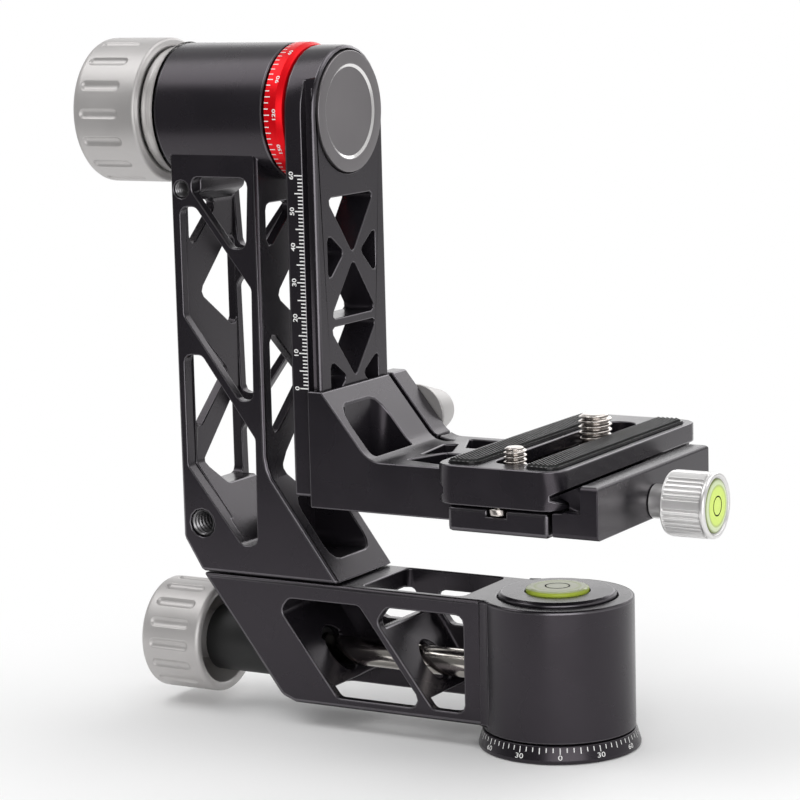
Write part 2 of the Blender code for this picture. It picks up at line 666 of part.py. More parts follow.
def make_lower_arm():
    foot = [in_arm(share) for share in ARM_FOOT_SHARES]
    outline = [(0, PAN_TOP), (ARM_LEFT, PAN_TOP), *foot, (0, ARM_BOTTOM)]
    arm = prism("lower_arm", outline, "y", -ARM_HALF_WIDTH, ARM_HALF_WIDTH)
    chamfer(arm, CHAMFER)
    bottom = RING_HEIGHT + GAP
    edge = CHAMFER / 2
    housing = lathe("pan_housing", [
        (0, bottom), (PAN_RADIUS, bottom), (PAN_RADIUS, PAN_TOP - edge), (PAN_RADIUS - edge, PAN_TOP),
        (0, PAN_TOP),
    ], "z", steps=WIDE_STEPS)
    join(arm, housing, *housing_blends())
    windows = arm_windows("lower_windows", (FRONT_WINDOW_SHARES, INNER_WINDOW_SHARES),
                          -ARM_HALF_WIDTH - OVERRUN, ARM_HALF_WIDTH - WALL)
    rear_windows = arm_windows("lower_rear_windows", (REAR_WINDOW_SHARES, REAR_INNER_WINDOW_SHARES),
                               0, ARM_HALF_WIDTH + OVERRUN)
    top_pocket = arm_pocket("top_pocket", TOP_POCKET_SHARES, top_pocket_floor(), PAN_TOP + OVERRUN)
    bottom_pocket = arm_pocket("bottom_pocket", BOTTOM_POCKET_SHARES, ARM_BOTTOM - OVERRUN,
                               ARM_BOTTOM + BOTTOM_POCKET_DEPTH)
    rod_place = (0, PAN_ROD_HEIGHT)
    rod_hole = lathe("pan_rod_hole", [
        (0, ARM_LEFT), (SLEEVE_RADIUS + GAP, ARM_LEFT), (SLEEVE_RADIUS + GAP, SLEEVE_STEP + GAP),
        (BUSH_RADIUS + GAP, SLEEVE_STEP + GAP), (BUSH_RADIUS + GAP, BUSH_END + OVERRUN),
        (PAN_PAD_RADIUS + GAP, BUSH_END + OVERRUN), (PAN_PAD_RADIUS + GAP, -SHOULDER_RADIUS + OVERRUN),
        (0, -SHOULDER_RADIUS + OVERRUN),
    ], "x", rod_place)
    cut(arm, windows, rear_windows, top_pocket, bottom_pocket, rod_hole, foot_screw_holes("arm"), pan_bore())
    return finish(arm, "black")


def in_column(share, drop=0.0, mirrored=False):
    across = 1 - share[0] if mirrored else share[0]
    return (between(across, UPRIGHT_LEFT, UPRIGHT_RIGHT), between(share[1] - drop, PAN_TOP, TILT_HEIGHT))


def upright_windows():
    front, rear, sides = [], [], []
    for window in (UPPER_WINDOW_SHARES, MIDDLE_WINDOW_SHARES, LOWER_WINDOW_SHARES):
        mirrored = [in_column(share, REAR_DROP_SHARE, True) for share in window]
        front.append(rounded([in_column(share) for share in window], WINDOW_RADIUS))
        rear.append(rounded(mirrored, WINDOW_RADIUS, FEW_CORNER_STEPS))
    for window in SIDE_WINDOW_SHARES:
        corners = [
            (between(across, -ARM_HALF_WIDTH, ARM_HALF_WIDTH), between(up, PAN_TOP, TILT_HEIGHT))
            for across, up in window
        ]
        sides.append(rounded(corners, POCKET_RADIUS, FEW_CORNER_STEPS))
    inner = ARM_HALF_WIDTH - WALL - OVERRUN / 2
    side_end = between(SIDE_WINDOW_END_SHARE, UPRIGHT_LEFT, UPRIGHT_RIGHT)
    return [
        prisms("front_windows", front, "y", -ARM_HALF_WIDTH - OVERRUN, -inner),
        prisms("rear_windows", rear, "y", inner, ARM_HALF_WIDTH + OVERRUN),
        prisms("side_windows", sides, "x", UPRIGHT_LEFT - OVERRUN, side_end),
    ]


def make_upright_arm():
    foot_right = in_column(FOOT_RIGHT_SHARE)
    outline = [
        in_column(FOOT_LEFT_SHARE), (ARM_LEFT, foot_right[1]), foot_right,
        *(in_column(share) for share in FOOT_CURVE_SHARES), (UPRIGHT_RIGHT, TILT_HEIGHT),
        (UPRIGHT_LEFT, TILT_HEIGHT),
    ]
    arm = prism("upright_arm", outline, "y", -ARM_HALF_WIDTH, ARM_HALF_WIDTH)
    chamfer(arm, CHAMFER)
    axis_place = (0, TILT_HEIGHT)
    edge = CHAMFER / 2
    housing = lathe("tilt_housing", [
        (0, TILT_OUTER), (TILT_RADIUS - edge, TILT_OUTER), (TILT_RADIUS, TILT_OUTER + edge),
        (TILT_RADIUS, TILT_INNER - edge), (TILT_RADIUS - edge, TILT_INNER), (0, TILT_INNER),
    ], "x", axis_place, WIDE_STEPS)
    join(arm, housing)
    wide = BEARING_RADIUS + GAP
    bore = lathe("tilt_bore", [
        (0, TILT_OUTER - OVERRUN), (wide, TILT_OUTER - OVERRUN), (wide, TILT_SHOULDERS[0]),
        (SHOULDER_RADIUS, TILT_SHOULDERS[0]), (SHOULDER_RADIUS, TILT_SHOULDERS[1]), (wide, TILT_SHOULDERS[1]),
        (wide, TILT_INNER + OVERRUN), (0, TILT_INNER + OVERRUN),
    ], "x", axis_place)
    inner = ARM_HALF_WIDTH - WALL
    hollow_outline = rounded([in_column(share) for share in HOLLOW_SHARES], POCKET_RADIUS)
    hollow = prism("column_hollow", hollow_outline, "y", -inner, inner)
    recess_half = ARM_HALF_WIDTH - FOOT_WALL
    (start, low), (end, high) = (in_column(share) for share in FOOT_RECESS_SHARES)
    recess_outline = rounded(box_outline(-recess_half, recess_half, low, high), FOOT_RECESS_RADIUS)
    recess = prism("foot_recess", recess_outline, "x", start, end)
    front = -ARM_HALF_WIDTH
    small = rod("small_thread", SMALL_THREAD_RADIUS, "y", front - OVERRUN, front + SMALL_THREAD_DEPTH,
                in_column(SMALL_THREAD_SHARE), SMALL_STEPS)
    large = rod("large_thread", LARGE_THREAD_RADIUS, "y", front - OVERRUN, front + LARGE_THREAD_DEPTH,
                in_column(LARGE_THREAD_SHARE), SMALL_STEPS)
    cut(arm, foot_screw_holes("foot"), hollow, *upright_windows(), recess, small, large, bore)
    return finish(arm, "black")


def foot_screw_places():
    along = between(FOOT_SCREW_SHARE, UPRIGHT_LEFT, UPRIGHT_RIGHT)
    spread = ARM_HALF_WIDTH - WALL - FOOT_SCREW_INSET
    return [(along, side * spread) for side in (-1, 1)]


def foot_screw_top():
    return PAN_TOP + FOOT_SCREW_REACH


def foot_screw_head():
    """The two ends of a foot screw's head, which is let into the window's ceiling."""
    low = in_arm(FRONT_WINDOW_SHARES[1])[1]
    return low, low + FOOT_SCREW_HEAD


def foot_screw_holes(name):
    low, high = foot_screw_head()
    head_radius = FOOT_SCREW_HEAD_RADIUS + GAP
    radius = FOOT_SCREW_RADIUS + GAP
    top = foot_screw_top() + GAP
    return lathes(f"{name}_screw_holes", [
        (0, low - OVERRUN), (head_radius, low - OVERRUN), (head_radius, high + GAP), (radius, high + GAP),
        (radius, top), (0, top),
    ], "z", foot_screw_places())


def make_foot_screws():
    low, high = foot_screw_head()
    top = foot_screw_top()
    screws = []
    for i, place in enumerate(foot_screw_places(), 1):
        screws.append(finish(lathe(f"foot_screw_{i}", [
            (0, low), (FOOT_SCREW_HEAD_RADIUS, low), (FOOT_SCREW_HEAD_RADIUS, high),
            (FOOT_SCREW_RADIUS, high), (FOOT_SCREW_RADIUS, top), (0, top),
        ], "z", place, SMALL_STEPS), "steel"))
    return screws


def make_bearings():
    low = lower_bearing_low()
    pan = tuple(
        tube_profile(PAN_SHAFT_RADIUS + RUNNING, BEARING_RADIUS, start, start + BEARING_WIDTH)
        for start in (low, UPPER_PAN_BEARING)
    )
    inner_start = TILT_SHOULDERS[1] + GAP
    outer_end = TILT_SHOULDERS[0] - GAP
    tilt = tuple(
        tube_profile(TILT_SHAFT_RADIUS + RUNNING, BEARING_RADIUS, start, start + BEARING_WIDTH)
        for start in (inner_start, outer_end - BEARING_WIDTH)
    )
    height = (0, TILT_HEIGHT)
    return [
        finish(lathe("pan_bearing_lower", pan[0], "z", steps=HIDDEN_STEPS), "steel"),
        finish(lathe("pan_bearing_upper", pan[1], "z", steps=HIDDEN_STEPS), "steel"),
        finish(lathe("tilt_bearing_inner", tilt[0], "x", height, HIDDEN_STEPS), "steel"),
        finish(lathe("tilt_bearing_outer", tilt[1], "x", height, HIDDEN_STEPS), "steel"),
    ]


def make_pan_cap():
    low = PAN_TOP - CAP_RECESS + GAP
    high = low + CAP_HEIGHT
    radius = CAP_RECESS_RADIUS - GAP
    floor = high - LEVEL_RECESS
    edge = CHAMFER
    cap = lathe("pan_cap", [
        (0, low), (radius, low), (radius, high - edge), (radius - edge, high), (LEVEL_RADIUS + GAP, high),
        (LEVEL_RADIUS + GAP, floor), (0, floor),
    ], "z")
    top = high + LEVEL_RISE
    level = lathe("base_level", [
        (0, floor + GAP), (LEVEL_RADIUS, floor + GAP), (LEVEL_RADIUS, top - edge / 2),
        (LEVEL_RADIUS - edge / 2, top), (0, top),
    ], "z")
    return [finish(cap, "black"), finish(level, "level")]


def make_pan_sleeve():
    bore = PAN_ROD_RADIUS + GAP
    return finish(lathe("pan_sleeve", [
        (bore, SLEEVE_END), (SLEEVE_RADIUS, SLEEVE_END), (SLEEVE_RADIUS, SLEEVE_STEP),
        (BUSH_RADIUS, SLEEVE_STEP), (BUSH_RADIUS, BUSH_END), (bore, BUSH_END),
    ], "x", (0, PAN_ROD_HEIGHT)), "dark")


def make_tilt_collar():
    start = TILT_OUTER - GAP
    middle = (start + COLLAR_OUTER) / 2
    waist = (COLLAR_RADIUS + TILT_RADIUS) / 2
    pocket = TILT_SHAFT_RADIUS + GAP
    floor = TILT_SHAFT_END - GAP - TILT_PAD_LENGTH - 2 * TILT_STUD_RADIUS
    bore = TILT_STUD_RADIUS + GAP
    neck = COLLAR_OUTER - COLLAR_NECK
    return finish(lathe("tilt_collar", [
        (bore, neck), (COLLAR_NECK_RADIUS, neck), (COLLAR_NECK_RADIUS, COLLAR_OUTER),
        (COLLAR_RADIUS, COLLAR_OUTER), (waist + GAP, middle), (TILT_RADIUS, start), (BEARING_RADIUS, start),
        (BEARING_RADIUS, COLLAR_PLUG_END), (pocket, COLLAR_PLUG_END), (pocket, floor), (bore, floor),
    ], "x", (0, TILT_HEIGHT)), "silver")


# Brakes

def brake_knob(name, radius, inner, outer_end, rim, web, hub_radius, hub_end, bore, height, slots, rim_edge):
    """A hollow knob that opens towards +X, with a hub for its stud and slots for the fingers."""
    floor = outer_end + web
    cap_floor = outer_end + KNOB_CAP_THICKNESS - KNOB_CAP_RISE
    knob = lathe(name, [
        (0, cap_floor), (KNOB_CAP_RADIUS + GAP, cap_floor), (KNOB_CAP_RADIUS + GAP, outer_end),
        (radius - KNOB_ROUNDING, outer_end), (radius - KNOB_ROUNDING_STEP, outer_end + KNOB_ROUNDING_STEP),
        (radius, outer_end + KNOB_ROUNDING), (radius, rim - rim_edge), (radius - rim_edge, rim), (inner, rim),
        (inner, floor), (hub_radius, floor), (hub_radius, hub_end), (bore, hub_end),
        (bore, floor), (0, floor),
    ], "x", (0, height))
    cut(knob, knob_slots(f"{name}_slots", radius, slots, height))
    return finish(knob, "silver")


def knob_cap(name, outer_end, height):
    low = outer_end - KNOB_CAP_RISE
    high = outer_end + KNOB_CAP_THICKNESS - KNOB_CAP_RISE - GAP
    return finish(rod(name, KNOB_CAP_RADIUS, "x", low, high, (0, height), HIDDEN_STEPS), "grey")


def make_pan_brake():
    height = (0, PAN_ROD_HEIGHT)
    pad_face = -PAN_SHAFT_RADIUS - GAP
    pad = rod("pan_brake_pad", PAN_PAD_RADIUS, "x", pad_face - PAN_PAD_LENGTH, pad_face, height,
              HIDDEN_STEPS)
    rod_end = pad_face - PAN_PAD_LENGTH - GAP
    rod_start = PAN_KNOB_OUTER + PAN_KNOB_WEB + GAP
    steel = rod("pan_rod", PAN_ROD_RADIUS, "x", rod_start, rod_end, height)
    knob = brake_knob(
        "pan_knob", PAN_KNOB_RADIUS, PAN_KNOB_INNER_RADIUS, PAN_KNOB_OUTER, PAN_KNOB_RIM, PAN_KNOB_WEB,
        PAN_KNOB_HUB_RADIUS, SLEEVE_END - GAP, PAN_ROD_RADIUS + GAP, PAN_ROD_HEIGHT, PAN_KNOB_SLOTS, GAP,
    )
    cap = knob_cap("pan_knob_cap", PAN_KNOB_OUTER, PAN_ROD_HEIGHT)
    return [finish(pad, "brass")], [finish(steel, "chrome"), knob, cap]


def make_tilt_brake():
    height = (0, TILT_HEIGHT)
    pad_face = TILT_SHAFT_END - GAP
    pad = rod("tilt_brake_pad", TILT_SHAFT_RADIUS, "x", pad_face - TILT_PAD_LENGTH, pad_face, height,
              HIDDEN_STEPS)
    stud_start = TILT_KNOB_OUTER + TILT_KNOB_WEB + GAP
    stud = rod("tilt_stud", TILT_STUD_RADIUS, "x", stud_start, pad_face - TILT_PAD_LENGTH - GAP, height,
               HIDDEN_STEPS)
    knob = brake_knob(
        "tilt_knob", TILT_KNOB_RADIUS, TILT_KNOB_RADIUS - TILT_KNOB_WALL, TILT_KNOB_OUTER, TILT_KNOB_RIM,
        TILT_KNOB_WEB, TILT_KNOB_HUB_RADIUS, TILT_KNOB_RIM - GAP, TILT_STUD_RADIUS + GAP, TILT_HEIGHT,
        TILT_KNOB_SLOTS, TILT_KNOB_CHAMFER,
    )
    cap = knob_cap("tilt_knob_cap", TILT_KNOB_OUTER, TILT_HEIGHT)
    return [finish(pad, "brass")], [finish(stud, "steel"), knob, cap]


# Swing arm

def swing_bottom():
    return BRACKET_BOTTOM + TONGUE_THICKNESS


def swing_outline():
    steps = TURN_STEPS // 2
    radius = SWING_HALF_WIDTH
    angles = [math.pi * i / steps for i in range(steps + 1)]
    head = [(radius * math.cos(angle), TILT_HEIGHT + radius * math.sin(angle)) for angle in angles]
    bottom = swing_bottom()
    return [*head, (-SWING_HALF_WIDTH, bottom), (SWING_HALF_WIDTH, bottom)]


def swing_windows():
    outlines = []
    foot = swing_bottom() + FIELD_FOOT
    head = TILT_HEIGHT - HUB_RECESS_RADIUS - FIELD_HEAD
    windows = (FIELD_DOWN_SHARES, FIELD_LEFT_SHARES, FIELD_RIGHT_SHARES, FIELD_UP_SHARES)
    for field in FIELD_RANGE_SHARES:
        low, high = (between(share, foot, head) for share in field)
        for window in windows:
            corners = [(across * SWING_HALF_WIDTH, between(up, low, high)) for across, up in window]
            outlines.append(rounded(corners, FIELD_RADIUS, FEW_CORNER_STEPS))
    return prisms("swing_windows", outlines, "x", SWING_BACK - OVERRUN, SWING_FRONT + OVERRUN)


def make_swing():
    arm = prism("swing_arm", swing_outline(), "x", SWING_BACK, SWING_FRONT)
    chamfer(arm, SWING_CHAMFER)
    height = (0, TILT_HEIGHT)
    floor = SWING_HALF_WIDTH - GROOVE_DEPTH
    groove_top = TILT_HEIGHT + SWING_HALF_WIDTH
    for side in (-1, 1):
        ends = sorted((side * floor, side * (SWING_HALF_WIDTH + OVERRUN)))
        outline = box_outline(BRACKET_LEFT - GAP, BRACKET_LEFT + LIP_WIDTH + GAP, *ends)
        cut(arm, prism(f"groove_{side}", outline, "z", swing_bottom() - OVERRUN, groove_top))
    cap_high = SWING_FRONT + HUB_CAP_RISE
    cap_low = cap_high - HUB_CAP_THICKNESS
    recess = rod("hub_recess", HUB_RECESS_RADIUS, "x", cap_low - GAP, SWING_FRONT + OVERRUN, height)
    cut(arm, swing_windows(), recess)
    ring_end = SWING_BACK - GAP
    shaft = lathe("tilt_shaft", [
        (0, TILT_SHAFT_END), (TILT_SHAFT_RADIUS, TILT_SHAFT_END), (TILT_SHAFT_RADIUS, TILT_INNER + GAP),
        (TILT_FLANGE_RADIUS, TILT_INNER + GAP), (TILT_FLANGE_RADIUS, ring_end), (0, ring_end),
    ], "x", height, HIDDEN_STEPS)
    angle_ring = lathe("angle_ring", [
        (TILT_FLANGE_RADIUS + GAP, ANGLE_RING_BACK), (ANGLE_RING_RADIUS, ANGLE_RING_BACK),
        (ANGLE_RING_RADIUS, ANGLE_RING_BACK + ANGLE_RING_SCALE), (ANGLE_RING_EDGE_RADIUS, ring_end),
        (TILT_FLANGE_RADIUS + GAP, ring_end),
    ], "x", height, WIDE_STEPS)
    cap = lathe("hub_cap", [
        (0, cap_low), (HUB_CAP_RADIUS, cap_low), (HUB_CAP_RADIUS, cap_high - GAP),
        (HUB_CAP_RADIUS - GAP, cap_high), (HUB_DISH_RADIUS + HUB_DISH_SLOPE, cap_high),
        (HUB_DISH_RADIUS, cap_high - HUB_DISH), (0, cap_high - HUB_DISH),
    ], "x", height)
    pieces = [finish(arm, "black"), finish(shaft, "steel"), finish(angle_ring, "red"), finish(cap, "grey")]
    head_high = cap_low - 2 * GAP
    head_low = head_high - HUB_SCREW_HEAD
    shank_end = TILT_INNER + 2 * GAP + HUB_SCREW_RADIUS
    for i, place in enumerate(ring_of_places(HUB_SCREW_CIRCLE, HUB_SCREWS), 1):
        centre = (place[0], TILT_HEIGHT + place[1])
        screw = lathe(f"hub_screw_{i}", [
            (0, shank_end), (HUB_SCREW_RADIUS, shank_end), (HUB_SCREW_RADIUS, head_low),
            (HUB_SCREW_HEAD_RADIUS, head_low), (HUB_SCREW_HEAD_RADIUS, head_high), (0, head_high),
        ], "x", centre, SMALL_STEPS)
        hole = lathe(f"hub_screw_hole_{i}", [
            (0, shank_end - GAP), (HUB_SCREW_RADIUS + GAP, shank_end - GAP),
            (HUB_SCREW_RADIUS + GAP, head_low - GAP), (HUB_SCREW_HEAD_RADIUS + GAP, head_low - GAP),
            (HUB_SCREW_HEAD_RADIUS + GAP, cap_low), (0, cap_low),
        ], "x", centre, SMALL_STEPS)
        cut(arm, hole)
        cut(shaft, hole)
        pieces.append(finish(screw, "steel"))
    return pieces


# Platform

def lip_outline():
    """The bracket's end that the plate's left notch seats on, from the plate's underside up."""
    side = -PLATE_HALF_WIDTH - 2 * GAP
    tip = -PLATE_HALF_WIDTH + NOTCH_DEPTH - 2 * GAP
    return [
        (CLAMP_LEFT - GAP, CLAMP_TOP), (side, CLAMP_TOP), (side, NOTCH_MOUTH[0] + GAP),
        (tip, NOTCH_FLOOR[0] + GAP), (tip, NOTCH_FLOOR[1] - GAP), (side, NOTCH_MOUTH[1] - GAP),
        (side, BRACKET_PLATE_TOP),
    ]


def bracket_outline():
    foot = (BRACKET_LEFT + BRACKET_FOOT, BRACKET_PLATE_TOP)
    corners = [
        (BRACKET_LEFT, BRACKET_BOTTOM), (CLAMP_LEFT - GAP, BRACKET_BOTTOM), *lip_outline(), foot,
        (BRACKET_LEFT + BRACKET_TOP_WIDTH, BRACKET_TOP), (BRACKET_LEFT, BRACKET_TOP),
    ]
    radii = tuple(SLOPE_FILLET if corner == foot else 0 for corner in corners)
    return rounded(corners, radii, ROUND_STEPS)


def in_bracket(share):
    along = between(share[0], BRACKET_LEFT, -PLATE_HALF_WIDTH)
    return (along, between(share[1], BRACKET_FRONT, BRACKET_REAR))


def bracket_pocket(name, windows, radius, floor):
    return prisms(name, [rounded([in_bracket(share) for share in window], radius) for window in windows],
                  "z", BRACKET_BOTTOM + floor, BRACKET_TOP + OVERRUN)


def beside_seam(name, low, high):
    """A cutter that takes everything between these two places along X off the bracket's rear part."""
    outline = box_outline(low, high, BRACKET_BOTTOM - OVERRUN, BRACKET_TOP + OVERRUN)
    return prism(name, outline, "y", BRACKET_SPLIT - 2 * OVERRUN, BRACKET_REAR + OVERRUN)


def make_bracket():
    bracket = prism("l_bracket", bracket_outline(), "y", BRACKET_FRONT, BRACKET_SPLIT)
    rear = prism("bracket_rear", bracket_outline(), "y", BRACKET_SPLIT - OVERRUN, BRACKET_REAR)
    cut(rear, beside_seam("rear_end", BRACKET_LEFT - OVERRUN, JAW_SEAM + GAP))
    join(bracket, rear)
    tongue = prism("bracket_tongue", box_outline(CLAMP_LEFT - OVERRUN, TONGUE_END, -TONGUE_HALF, TONGUE_HALF),
                   "z", BRACKET_BOTTOM, swing_bottom())
    join(bracket, tongue)
    inner = -SWING_HALF_WIDTH - GAP
    lip_end = -SWING_HALF_WIDTH + GROOVE_DEPTH - GAP
    lip_side = BRACKET_LEFT + LIP_WIDTH
    face = SWING_FRONT + GAP
    channel = prism("arm_channel", [
        (BRACKET_LEFT - OVERRUN, lip_end), (lip_side, lip_end), (lip_side, inner), (face, inner),
        (face, BRACKET_REAR), (BRACKET_LEFT - OVERRUN, BRACKET_REAR),
    ], "z", BRACKET_BOTTOM - OVERRUN, BRACKET_TOP + OVERRUN)
    pockets = bracket_pocket("plate_pockets", PLATE_POCKET_SHARES, CHAMFER, PLATE_POCKET_FLOOR)
    slope_pocket = bracket_pocket("slope_pocket", [SLOPE_POCKET_SHARES], SLOPE_POCKET_RADII,
                                  SLOPE_POCKET_FLOOR)
    saw_end = bracket_pocket("saw_end", [SAW_END_SHARES], CHAMFER, PLATE_POCKET_FLOOR)
    stud_hole = rod("height_stud_hole", HEIGHT_STUD_RADIUS + GAP, "y", HEIGHT_STUD_START - GAP,
                    BRACKET_SPLIT + OVERRUN, HEIGHT_STUD, SMALL_STEPS)
    cut(bracket, channel, pockets, slope_pocket, saw_end, stud_hole)
    for side in (-1, 1):
        place = (CLAMP_BOLT_PLACE[0], side * CLAMP_BOLT_PLACE[1])
        cut(bracket, lathe(f"tongue_hole_{side}", bolt_hole_profile(), "z", place, SMALL_STEPS))
    return finish(bracket, "black")


def bolt_head_low():
    return BRACKET_BOTTOM + GAP


def bolt_top():
    return CLAMP_TOP - CLAMP_BOLT_COVER


def bolt_hole_profile():
    step = bolt_head_low() + CLAMP_BOLT_HEAD + GAP
    return [
        (0, BRACKET_BOTTOM - OVERRUN), (CLAMP_BOLT_HEAD_RADIUS + GAP, BRACKET_BOTTOM - OVERRUN),
        (CLAMP_BOLT_HEAD_RADIUS + GAP, step), (CLAMP_BOLT_RADIUS + GAP, step),
        (CLAMP_BOLT_RADIUS + GAP, bolt_top() + GAP), (0, bolt_top() + GAP),
    ]


def make_clamp_bolts():
    low = bolt_head_low()
    high = low + CLAMP_BOLT_HEAD
    bolts = []
    for i, side in enumerate((-1, 1), 1):
        place = (CLAMP_BOLT_PLACE[0], side * CLAMP_BOLT_PLACE[1])
        bolts.append(finish(lathe(f"clamp_bolt_{i}", [
            (0, low), (CLAMP_BOLT_HEAD_RADIUS, low), (CLAMP_BOLT_HEAD_RADIUS, high),
            (CLAMP_BOLT_RADIUS, high), (CLAMP_BOLT_RADIUS, bolt_top()), (0, bolt_top()),
        ], "z", place, SMALL_STEPS), "steel"))
    return bolts


def stop_pin_bottom():
    return PLATE_BOTTOM - STOP_PIN_REACH


def make_clamp_body():
    body = prism("clamp_body", box_outline(CLAMP_LEFT, CLAMP_RIGHT, -CLAMP_HALF, CLAMP_HALF), "z",
                 CLAMP_BOTTOM, CLAMP_TOP)
    chamfer(body, CHAMFER)
    tongue_room = prism("tongue_room", box_outline(
        CLAMP_LEFT - OVERRUN, TONGUE_END + GAP, -TONGUE_HALF - GAP, TONGUE_HALF + GAP
    ), "z", CLAMP_BOTTOM - OVERRUN, swing_bottom() + GAP)
    trough = rod("stud_trough", CLAMP_STUD_RADIUS + GAP, "x", CLAMP_STUD_START - GAP, CLAMP_RIGHT + OVERRUN,
                 (0, CLAMP_AXIS_HEIGHT), SMALL_STEPS)
    cut(body, tongue_room, trough)
    for side in (-1, 1):
        cut(body, rod(f"pin_hole_{side}", PIN_RADIUS + GAP, "x", PIN_ENDS[0] - GAP, CLAMP_RIGHT + OVERRUN,
                      (side * PIN_PLACE, CLAMP_TOP - PIN_DEPTH), SMALL_STEPS))
        place = (CLAMP_BOLT_PLACE[0], side * CLAMP_BOLT_PLACE[1])
        cut(body, rod(f"clamp_bolt_hole_{side}", CLAMP_BOLT_RADIUS + GAP, "z", CLAMP_BOTTOM - OVERRUN,
                      bolt_top() + GAP, place, SMALL_STEPS))
        room = STOP_PIN_RADIUS + STOP_PIN_CLEARANCE
        ends = sorted((side * (-STOP_PINS[0] - room), side * (CLAMP_HALF + OVERRUN)))
        cut(body, prism(f"stop_notch_{side}", box_outline(-room, room, *ends), "z",
                        stop_pin_bottom() - STOP_PIN_ROOM, CLAMP_TOP + OVERRUN))
    return finish(body, "black")


def make_split_jaw():
    inner = BRACKET_SPLIT + BRACKET_SAW
    jaw = prism("bracket_jaw", bracket_outline(), "y", inner, BRACKET_REAR)
    cut(jaw, beside_seam("jaw_end", JAW_SEAM, CLAMP_RIGHT))
    lip_end = SWING_HALF_WIDTH - GROOVE_DEPTH + GAP
    lip = prism("jaw_lip", box_outline(BRACKET_LEFT, BRACKET_LEFT + LIP_WIDTH, lip_end, inner + OVERRUN), "z",
                BRACKET_BOTTOM, BRACKET_TOP)
    join(jaw, lip)
    hole = rod("jaw_stud_hole", HEIGHT_STUD_RADIUS + GAP, "y", inner - OVERRUN, BRACKET_REAR + OVERRUN,
               HEIGHT_STUD, SMALL_STEPS)
    cut(jaw, hole)
    return finish(jaw, "black")


def make_height_knob():
    low = BRACKET_REAR + GAP
    bore = HEIGHT_STUD_RADIUS + GAP
    taper_end = BRACKET_REAR + HEIGHT_KNOB_TAPER
    end = taper_end + HEIGHT_KNOB_TIP
    stud_end = taper_end - HEIGHT_STUD_RADIUS
    stud = rod("height_stud", HEIGHT_STUD_RADIUS, "y", HEIGHT_STUD_START, stud_end, HEIGHT_STUD, SMALL_STEPS)
    knob = lathe("height_knob", [
        (bore, low), (HEIGHT_KNOB_RADIUS, low), (HEIGHT_KNOB_RADIUS, low + CHAMFER),
        (HEIGHT_KNOB_END_RADIUS, taper_end), (HEIGHT_KNOB_TIP_RADIUS, end), (0, end), (0, stud_end + GAP),
        (bore, stud_end + GAP),
    ], "y", HEIGHT_STUD)
    return [finish(stud, "steel"), finish(knob, "silver")]


def make_clamp_jaw():
    side = PLATE_HALF_WIDTH + 2 * GAP
    tip = PLATE_HALF_WIDTH - NOTCH_DEPTH + 2 * GAP
    top_inner = CLAMP_JAW_RIGHT - CLAMP_JAW_TOP_WIDTH
    jaw = prism("clamp_jaw", [
        (CLAMP_JAW_LEFT, CLAMP_JAW_BOTTOM), (CLAMP_JAW_RIGHT, CLAMP_JAW_BOTTOM),
        (CLAMP_JAW_RIGHT, CLAMP_JAW_TOP - CHAMFER), (CLAMP_JAW_RIGHT - CHAMFER, CLAMP_JAW_TOP),
        (top_inner, CLAMP_JAW_TOP), (side, NOTCH_MOUTH[1] - GAP), (tip, NOTCH_FLOOR[1] - GAP),
        (tip, NOTCH_FLOOR[0] + GAP), (side, NOTCH_MOUTH[0] + GAP), (side, CLAMP_TOP),
        (CLAMP_JAW_LEFT, CLAMP_TOP),
    ], "y", *CLAMP_JAW_ENDS)
    chamfer(jaw, GAP)
    for i, (start, end) in enumerate(((CLAMP_JAW_ENDS[0] - OVERRUN, -JAW_LIP_HALF),
                                      (JAW_LIP_HALF, CLAMP_JAW_ENDS[1] + OVERRUN))):
        outline = box_outline(CLAMP_JAW_LEFT - OVERRUN, top_inner, start, end)
        cut(jaw, prism(f"jaw_end_{i}", outline, "z", CLAMP_TOP + GAP, CLAMP_JAW_TOP + OVERRUN))
    corners = [
        (CLAMP_JAW_ENDS[0], CLAMP_JAW_BOTTOM), (CLAMP_JAW_ENDS[1], CLAMP_JAW_BOTTOM),
        (CLAMP_JAW_ENDS[1], CLAMP_JAW_TOP), (CLAMP_JAW_ENDS[0], CLAMP_JAW_TOP),
    ]
    use_boolean(jaw, prism("jaw_corners", rounded(corners, CLAMP_JAW_CORNER), "x",
                           CLAMP_JAW_LEFT - OVERRUN, CLAMP_JAW_RIGHT + OVERRUN), "INTERSECT")
    cut(jaw, rod("jaw_screw_hole", CLAMP_STUD_RADIUS + GAP, "x", CLAMP_JAW_LEFT - OVERRUN,
                 CLAMP_JAW_RIGHT + OVERRUN, (0, CLAMP_AXIS_HEIGHT), SMALL_STEPS))
    pieces = [finish(jaw, "black")]
    for i, side_sign in enumerate((-1, 1), 1):
        place = (side_sign * PIN_PLACE, CLAMP_TOP - PIN_DEPTH)
        cut(jaw, rod(f"jaw_pin_hole_{i}", PIN_RADIUS + GAP, "x", CLAMP_JAW_LEFT - OVERRUN,
                     PIN_ENDS[1] + GAP, place, SMALL_STEPS))
        pieces.append(finish(rod(f"guide_pin_{i}", PIN_RADIUS, "x", *PIN_ENDS, place, SMALL_STEPS), "steel"))
    return pieces


